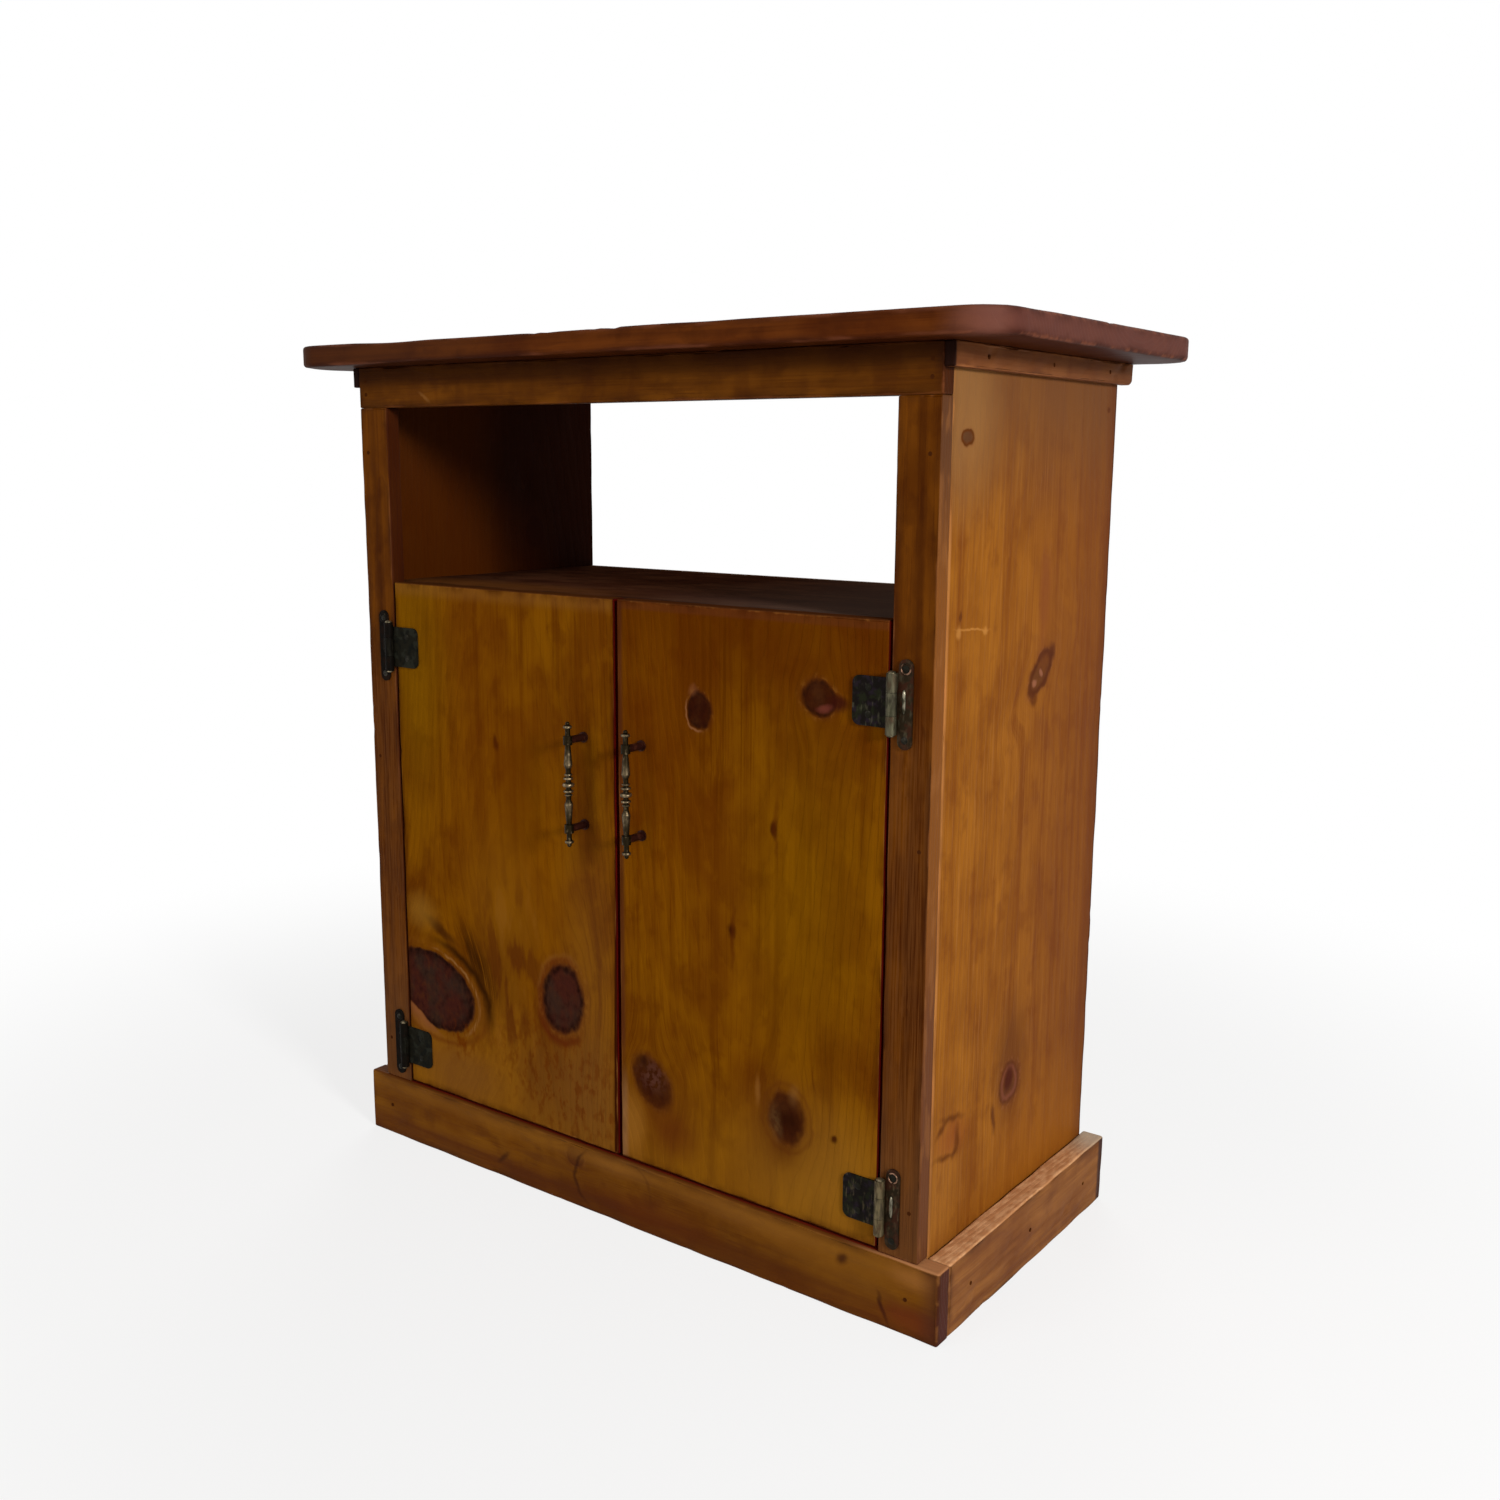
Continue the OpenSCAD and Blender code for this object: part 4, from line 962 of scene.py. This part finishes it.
# %% Shelf, bottom, battens and back
SHELF_TONES = ((84, 50, 32), (68, 36, 22), (44, 20, 12))
BARE_TONES = ((186, 150, 100), (170, 132, 84), (140, 98, 56))
PLY_TONES = ((130, 92, 52), (116, 76, 40), (96, 58, 28))
for name, seed in (("shelf", 28), ("bottom_board", 30)):
    wood = Pine(name, SHELF_TONES, pith=(20, 80), seed=seed, lines=0.2)
    # Painted light: greyer to the right, where the light falls in.
    wood.tint(wood.rise(-60, 240) * 0.6, (98, 80, 70))
    wood.mark((-110, -220), (30, 150), 0.7, (112, 66, 28))
    wood.wear((92, 56, 40), (20, 10, 8))
    worn_board(name, wood.done(0.8, 0.0), seed=seed)

battens = [node for node in frame["nodes"] if node.endswith("batten")]
bare_pine = Pine(battens[0], BARE_TONES, seed=32).done(0.6)
for number, name in enumerate(battens):
    worn_board(name, bare_pine, corner=1.0, edge=0.8, seed=40 + number)
ply = Pine("back_panel", PLY_TONES, ring=14.0, pith=(0, 30), seed=34, lines=0.3).done(0.55)
worn_board("back_panel", ply, corner=0.8, edge=0.7, step=12.0, seed=60)

# %% [markdown]
# ## The top
#
# The top is one thick board, darker and redder than the rest, with rounded plan corners and an edge that hands
# have worn. Its lower edge is painted darker as painted shade, and its front right corner paler, partly worn and
# partly a painted highlight. It isn't quite flat any more: the front edge sags a little between its ends. It is
# made the same way as the other boards, with a wide corner and a bow.

# %% Top board
TOP_TONES = ((98, 48, 11), (79, 34, 5), (52, 18, 2))
TOP_CORNER, TOP_EDGE, TOP_BOW = 34.0, 3.4, 1.0
SAG_LEFT, SAG_REACH = 0.35, 0.6
low_top, high_top = box_of("top")


def bowed(points, half):
    """The upper face sinks by the bow times cos^2 of a quarter turn each side of its lowest place."""
    share = np.clip((points[:, 0] / half[0] + SAG_LEFT) / SAG_REACH, -1, 1)
    points[:, 2] -= (points[:, 2] > 0) * TOP_BOW * np.cos(share * math.pi / 2) ** 2
    return points


wood = Pine("top", TOP_TONES, pith=(40, 60), lean=(0.03, 0.04), seed=36, lines=0.15)
wood.tint(wood.rise(0, -250) * 0.5, (56, 32, 20))
wood.tint(wood.rise(high_top[0] - 43, high_top[0] - 13) * 0.85, (84, 49, 42))
# Painted shade: the lower part of the edge and the underside are painted darker.
wood.tint(wood.depth.smooth(high_top[2] - 14, high_top[2] - 18) * 0.5, (50, 20, 10))
# A pale patch on the front right corner: partly wear, partly a painted highlight.
wood.mark((low_top[1], high_top[0] - 22), (22, 18), 0.4, (116, 72, 58), soft=0.8)
wood.wear((124, 70, 46), (46, 18, 10), worn_width=4.0, worn_share=0.6)
top_board = worn_board("top", wood.done(lift=0.07), corner=TOP_CORNER, edge=TOP_EDGE, seed=70, shape=bowed,
                       uneven=0.18)
print("top:", len(top_board.data.polygons), "faces")

# %% [markdown]
# ## Brass and iron
#
# The hinges and handles are cheap brass plate gone brown and grey, with bright places where fingers and pins
# rub. The posts behind the bars are plain dark iron. Each metal is a dark colour with a lighter one showing
# through a cloud, and its roughness follows the same cloud, so the bright places are also the smooth ones.

# %% Tarnish
TARNISH_SEED = 1.0


def tarnished(name, dark, bright, size=(6, 6, 6), share=(0.5, 0.7), rough=(0.55, 0.35), metallic=0.9, rub=None,
              blooms=(), specular=0.1):
    """A dark skin with blooms of other colours, worn through to bright metal where the noise is high, or where
    rub says."""
    finish = Finish(bpy.data.materials.new(name))
    place = finish.place()
    cloud = finish.noise(place, size, TARNISH_SEED, 4.0)
    rubbed = cloud.smooth(*share)
    if rub:
        worn = 0.3 + cloud.smooth(0.36, 0.62) * 0.7
        rubbed = (rub(finish, place) * worn + cloud.smooth(0.55, 0.72) * 0.35).smaller(1.0)
    skin = dark
    for number, bloom in enumerate(blooms):
        patch = finish.noise(place, (7, 7, 7), TARNISH_SEED + 5 * number + 3, 3.0).smooth(0.48, 0.62)
        skin = finish.blend(patch, skin, bloom)
    roughness = rough[0] + rubbed * (rough[1] - rough[0])
    return finish.close(finish.blend(rubbed, skin, bright), roughness, specular, metallic, cloud, 0.08)


def wear_metal(node, material):
    """Gives a packed node a better material in its own slot."""
    frame["nodes"][node].data.materials.clear()
    frame["nodes"][node].data.materials.append(material)


metals = {
    "aged_bronze": tarnished("aged_bronze", (24, 22, 15), (58, 54, 46), share=(0.5, 0.8), metallic=0.6),
    "worn_brass": tarnished("worn_brass", (70, 66, 50), (150, 136, 108), size=(4, 4, 4), share=(0.4, 0.65)),
    "dark_iron": tarnished("dark_iron", (40, 14, 8), (64, 32, 22), metallic=0.4),
    "steel": tarnished("steel", (130, 128, 122), (186, 184, 178), rough=(0.45, 0.3)),
    "catch_plastic": tarnished("catch_plastic", (60, 42, 30), (70, 50, 36), metallic=0.0),
    "nail": tarnished("nail", (62, 30, 10), (74, 38, 14), metallic=0.0, rough=(0.8, 0.7), specular=0.0),
}
for name in frame["nodes"]:
    if slot_of[name] in metals:
        wear_metal(name, metals[slot_of[name]])
wear_metal("frame_screws", metals["aged_bronze"])
wear_metal("finish_nails", metals["nail"])
print("metals:", ", ".join(metals))

# %% [markdown]
# Fingers rub the beads of a handle's bar, which stand out from its waist, and a door's swing rubs the barrel of
# its hinge. Both lie at a known distance from an upright line, so that distance drives the wear. The hinges on
# the left are painted darker and duller than those on the right, as painted shade, with near-black barrels and
# less shine, and each leaf has its own colour of tarnish.

# %% Hinges and handles
BARREL_RADIUS = 4.0
WAIST, BEAD = 2.2, 4.8
POST_GAP, BLOCK_HALF = 76.0, 5.0
LEAF_SKINS = {("right", "door_leaf"): ((17, 12, 9), ((30, 22, 28), (26, 27, 14))),
              ("right", "frame_leaf"): ((36, 27, 15), ((56, 42, 28), (52, 28, 16))),
              ("left", "door_leaf"): ((25, 23, 16), ((17, 17, 13), (34, 34, 27))),
              ("left", "frame_leaf"): ((14, 10, 7), ((20, 16, 12), (26, 16, 10)))}
# Painted shade: the left barrels' rubbed colour is near black, and the left leaves are not metallic.
BARREL_BRIGHT = {("left", "upper"): (13, 10, 7), ("left", "lower"): (14, 12, 8),
                 ("right", "upper"): (84, 80, 62), ("right", "lower"): (106, 94, 68)}
LEAF_METAL = {"right": {"metallic": 0.7, "specular": 0.1}, "left": {"metallic": 0.0, "specular": 0.02}}


def off_upright(finish, place, at):
    """Distance from the upright line through a place."""
    away = finish.vector("SUBTRACT", place, at)
    return finish.vector("LENGTH", finish.vector("MULTIPLY", away, (1.0, 1.0, 0.0)))


def rubbed_beads(middle):
    """Wear that grows from the waist's radius to the bead's, but spares the blocks where the posts meet."""

    def rub(finish, place):
        """1 on the beads, by the distance from the bar's middle line and from the posts' heights."""
        height = finish.split(place)[2] - middle[2]
        off_post = finish.maths("ABSOLUTE", finish.maths("ABSOLUTE", height) - POST_GAP / 2)
        spared = off_post.smooth(BLOCK_HALF - 1, BLOCK_HALF + 1)
        return off_upright(finish, place, middle).smooth(WAIST, BEAD) * spared

    return rub


def rubbed_barrel(middle):
    """Wear on the barrel, which is all that lies within its radius."""
    start, end = BARREL_RADIUS + 0.5, BARREL_RADIUS + 0.1
    return lambda finish, place: off_upright(finish, place, middle).smooth(start, end)


for joint in frame["joints"]:
    side = joint["name"].split("_")[0]
    rub = rubbed_barrel(tuple(v / MM for v in joint["pos_m"]))
    for part in ("door_leaf", "frame_leaf"):
        dark, blooms = LEAF_SKINS[side, part]
        for level in ("upper", "lower"):
            leaf = "_".join((side, level, part))
            wear_metal(leaf, tarnished(leaf + "_bronze", dark, BARREL_BRIGHT[side, level], size=(2.5, 2.5, 9),
                                       rough=(0.6, 0.4), rub=rub, blooms=blooms, **LEAF_METAL[side]))
    bar = side + "_handle_bar"
    rub = rubbed_beads(tuple(sum(box_of(bar)) / 2))
    wear_metal(bar, tarnished(side + "_turned_brass", (32, 25, 13), (136, 118, 90), size=(3, 3, 5),
                              rough=(0.5, 0.3), rub=rub))

# %% [markdown]
# Each stile leaf has a stamped rib down its middle, and its upper screw sits in a raised eye. Both were
# pressed from behind on the real plate. Small turned pieces show them: an upright pill that is half sunk in
# the leaf, and a ring round the screw. Each is a profile carried round an upright line.

# %% Turned pieces
ROUND = 16


def turned(profile):
    """Points and quads of a turned piece: radius and height pairs, turned about the upright."""
    radius, height = np.array(profile).T
    turn = np.arange(ROUND) * 2 * math.pi / ROUND
    circle = np.stack([np.cos(turn), np.sin(turn)], 1)
    points = np.column_stack([(radius[:, None, None] * circle).reshape(-1, 2), np.repeat(height, ROUND)])
    i, j = np.meshgrid(np.arange(len(radius) - 1), np.arange(ROUND), indexing="ij")
    a, b = i * ROUND + j, i * ROUND + (j + 1) % ROUND
    return points, np.stack([a, b, b + ROUND, a + ROUND], -1).reshape(-1, 4)


def pill(radius, length, steps=12):
    """A rounded upright bar: radius times (1 - |share|^4)^(1/2), closed by a fan at each end."""
    share = np.sin(np.linspace(-math.pi / 2, math.pi / 2, steps + 2))[1:-1]
    points, quads = turned(np.stack([radius * np.sqrt(1 - share ** 4), share * length / 2], 1))
    low_tip, high_tip = len(points), len(points) + 1
    points = np.vstack([points, [[0, 0, -length / 2], [0, 0, length / 2]]])
    here = np.arange(ROUND)
    following, last = (here + 1) % ROUND, ROUND * (steps - 1)
    lower = np.stack([following, here, np.full(ROUND, low_tip)], 1)
    upper = np.stack([last + here, last + following, np.full(ROUND, high_tip)], 1)
    return points, quads.tolist() + lower.tolist() + upper.tolist()


def eyelet(radius, tube, steps=8):
    """A torus about the upright: the tube's circle turned at the radius."""
    angle = np.arange(steps + 1) * 2 * math.pi / steps
    points, quads = turned(np.stack([radius + tube * np.cos(angle), tube * np.sin(angle)], 1))
    return points[:-ROUND], (quads % (len(points) - ROUND)).tolist()


print("an eyelet has", len(eyelet(1, 0.2)[1]), "faces and a pill", len(pill(1, 5)[1]))

# %% [markdown]
# The rib and the eye take their places from the leaf's own box and the stile's face, so they follow the leaf.
# They are pieces of their own and replace nothing. On the right they are painted bright, partly rubbed metal and
# partly a painted highlight, and on the left dark and dull, as painted shade.

# %% Ribs and eyes
PLATE = 1.5
RIB_RADIUS, RIB_LENGTH, RIB_UP, RIB_IN = 1.6, 18.0, 2.0, 7.0
EYE_RADIUS, EYE_TUBE, EYE_UP, EYE_IN = 3.9, 0.7, 26.0, 6.0
# Painted light and shade: bright rubbed metal with a painted highlight on the right, dark dull metal on the left.
dull = tarnished("shaded_dull_rib", (22, 18, 14), (44, 40, 32), size=(3, 3, 8), metallic=0.0, specular=0.02)
rib = tarnished("rubbed_rib", (50, 46, 34), (128, 122, 104), size=(3, 3, 8), share=(0.35, 0.6),
                rough=(0.45, 0.3))
eye = tarnished("rubbed_eye", (40, 30, 20), (134, 100, 80), size=(4, 4, 4), share=(0.4, 0.6))
pressed_metals = {1: (rib, eye), -1: (dull, dull)}


def press_out(name, points, faces, metal):
    """A piece pressed out of a stile leaf, which rides on the cabinet."""
    piece = make_mesh(name, points, faces)
    piece.data.materials.append(metal)
    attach(piece, "cabinet")


leaves = [name for name in frame["nodes"] if name.endswith("frame_leaf")]
for name in leaves:
    low, high = box_of(name)
    side = 1 if low[0] > 0 else -1
    outer = high[0] if side > 0 else low[0]
    plate_y, middle_z = face_y - PLATE, (low[2] + high[2]) / 2
    rib_metal, eye_metal = pressed_metals[side]
    points, faces = pill(RIB_RADIUS, RIB_LENGTH)
    rib_at = (outer - side * RIB_IN, plate_y, middle_z + RIB_UP)
    press_out(name + "_rib", points + rib_at, faces, rib_metal)
    points, faces = eyelet(EYE_RADIUS, EYE_TUBE)
    eye_at = (outer - side * EYE_IN, plate_y, middle_z + EYE_UP)
    press_out(name + "_eye", points[:, (0, 2, 1)] * (1, -1, 1) + eye_at, faces, eye_metal)
print("ribs and eyes:", 2 * len(leaves))

# %% [markdown]
# ## Floor and light
#
# The cabinet stands in a plain white studio. The floor is pale near the cabinet, where it takes the shadow,
# and turns to plain white further off, but only for rays that look at it, so that it adds no light of its own.
# Under the cabinet it doesn't glow at all, or a white line would show below the bottom board.

# %% Floor
FLOOR_SIDE, FADE_NEAR, FADE_FAR = 60.0, 0.5, 1.3
FLOOR_GLOW = 0.75
FOOTPRINT = (0.305, 0.1285, 1.0)
WHITE = (1.0, 1.0, 1.0, 1.0)


def looked_at(finish):
    """1 for rays from the camera, from a mirror or through glass, and 0 for rays that carry light."""
    kinds = ("Is Camera Ray", "Is Glossy Ray", "Is Transmission Ray")
    camera, mirror, glass = (finish.node("ShaderNodeLightPath", output=kind) for kind in kinds)
    return camera.larger(mirror).larger(glass)


def lay_floor():
    """A square on the ground whose white glow grows with the distance from the cabinet's middle."""
    reach = FLOOR_SIDE / 2
    mesh = bpy.data.meshes.new("floor")
    corners = [(-reach, -reach, 0), (reach, -reach, 0), (reach, reach, 0), (-reach, reach, 0)]
    mesh.from_pydata(corners, [], [(0, 1, 2, 3)])
    floor = link("floor", mesh)
    finish = Finish(bpy.data.materials.new("floor_white"))
    mesh.materials.append(finish.close(rgb(238, 237, 235), 0.9, 0.0))
    place = finish.node("ShaderNodeTexCoord", output="Object")
    far = finish.vector("LENGTH", place).smooth(FADE_NEAR, FADE_FAR)
    x, y, _ = finish.split(finish.vector("DIVIDE", finish.vector("ABSOLUTE", place), FOOTPRINT))
    open_floor = x.larger(y).smooth(0.97, 1.0)
    glow = finish.node("ShaderNodeEmission", {}, {0: WHITE, 1: 1.0})
    share = (FLOOR_GLOW + far * (1 - FLOOR_GLOW)) * open_floor * looked_at(finish)
    plain = Signal(finish, finish.shader.outputs[0])
    both = finish.node("ShaderNodeMixShader", {}, {0: share, 1: plain, 2: glow})
    finish.feed(finish.tree.nodes["Material Output"].inputs[0], both)


lay_floor()
print("floor:", FLOOR_SIDE, "m, white from", FADE_FAR, "m")

# %% [markdown]
# A large soft lamp to the right and in front gives the side panel its glow and leaves the inside of the bay
# dark. A weak even sky and two wide lamps fill the rest. A sun would give hard shadows, and the photograph has
# soft ones.

# %% Sky and lamps
SKY = 0.30
MIDDLE = Vector((0, 0, 0.38))


def set_sky():
    """Plain white to look at, and a weak white light."""
    world = bpy.data.worlds.new("studio")
    bpy.context.scene.world = world
    sky = Finish(world)
    level = sky.node("ShaderNodeMix", {"data_type": "FLOAT"}, {0: looked_at(sky), 2: SKY, 3: 1.0})
    back = sky.tree.nodes["Background"]
    sky.feed(back.inputs[0], WHITE)
    sky.feed(back.inputs[1], level)


def hang_lamp(name, way, far, side, level):
    """A square lamp that lights a face to the level: its power is the level times (pi x distance) squared."""
    data = bpy.data.lights.new(name, "AREA")
    data.size = side
    data.energy = level * (math.pi * far) ** 2
    lamp = link(name, data)
    lamp.location = MIDDLE + way.normalized() * far
    lamp.rotation_euler = (-way).to_track_quat("-Z", "Y").to_euler()
    print(name, round(data.energy), "W")


set_sky()
hang_lamp("key", way=Vector((0.90, -0.33, 0.31)), far=3.2, side=0.5, level=0.82)
hang_lamp("fill", way=Vector((-0.35, -1.0, 0.30)), far=4.0, side=2.2, level=0.22)
hang_lamp("back", way=Vector((-0.60, 1.0, 0.40)), far=4.0, side=2.2, level=0.35)
bpy.context.scene.view_settings.view_transform = "Standard"

# %% [markdown]
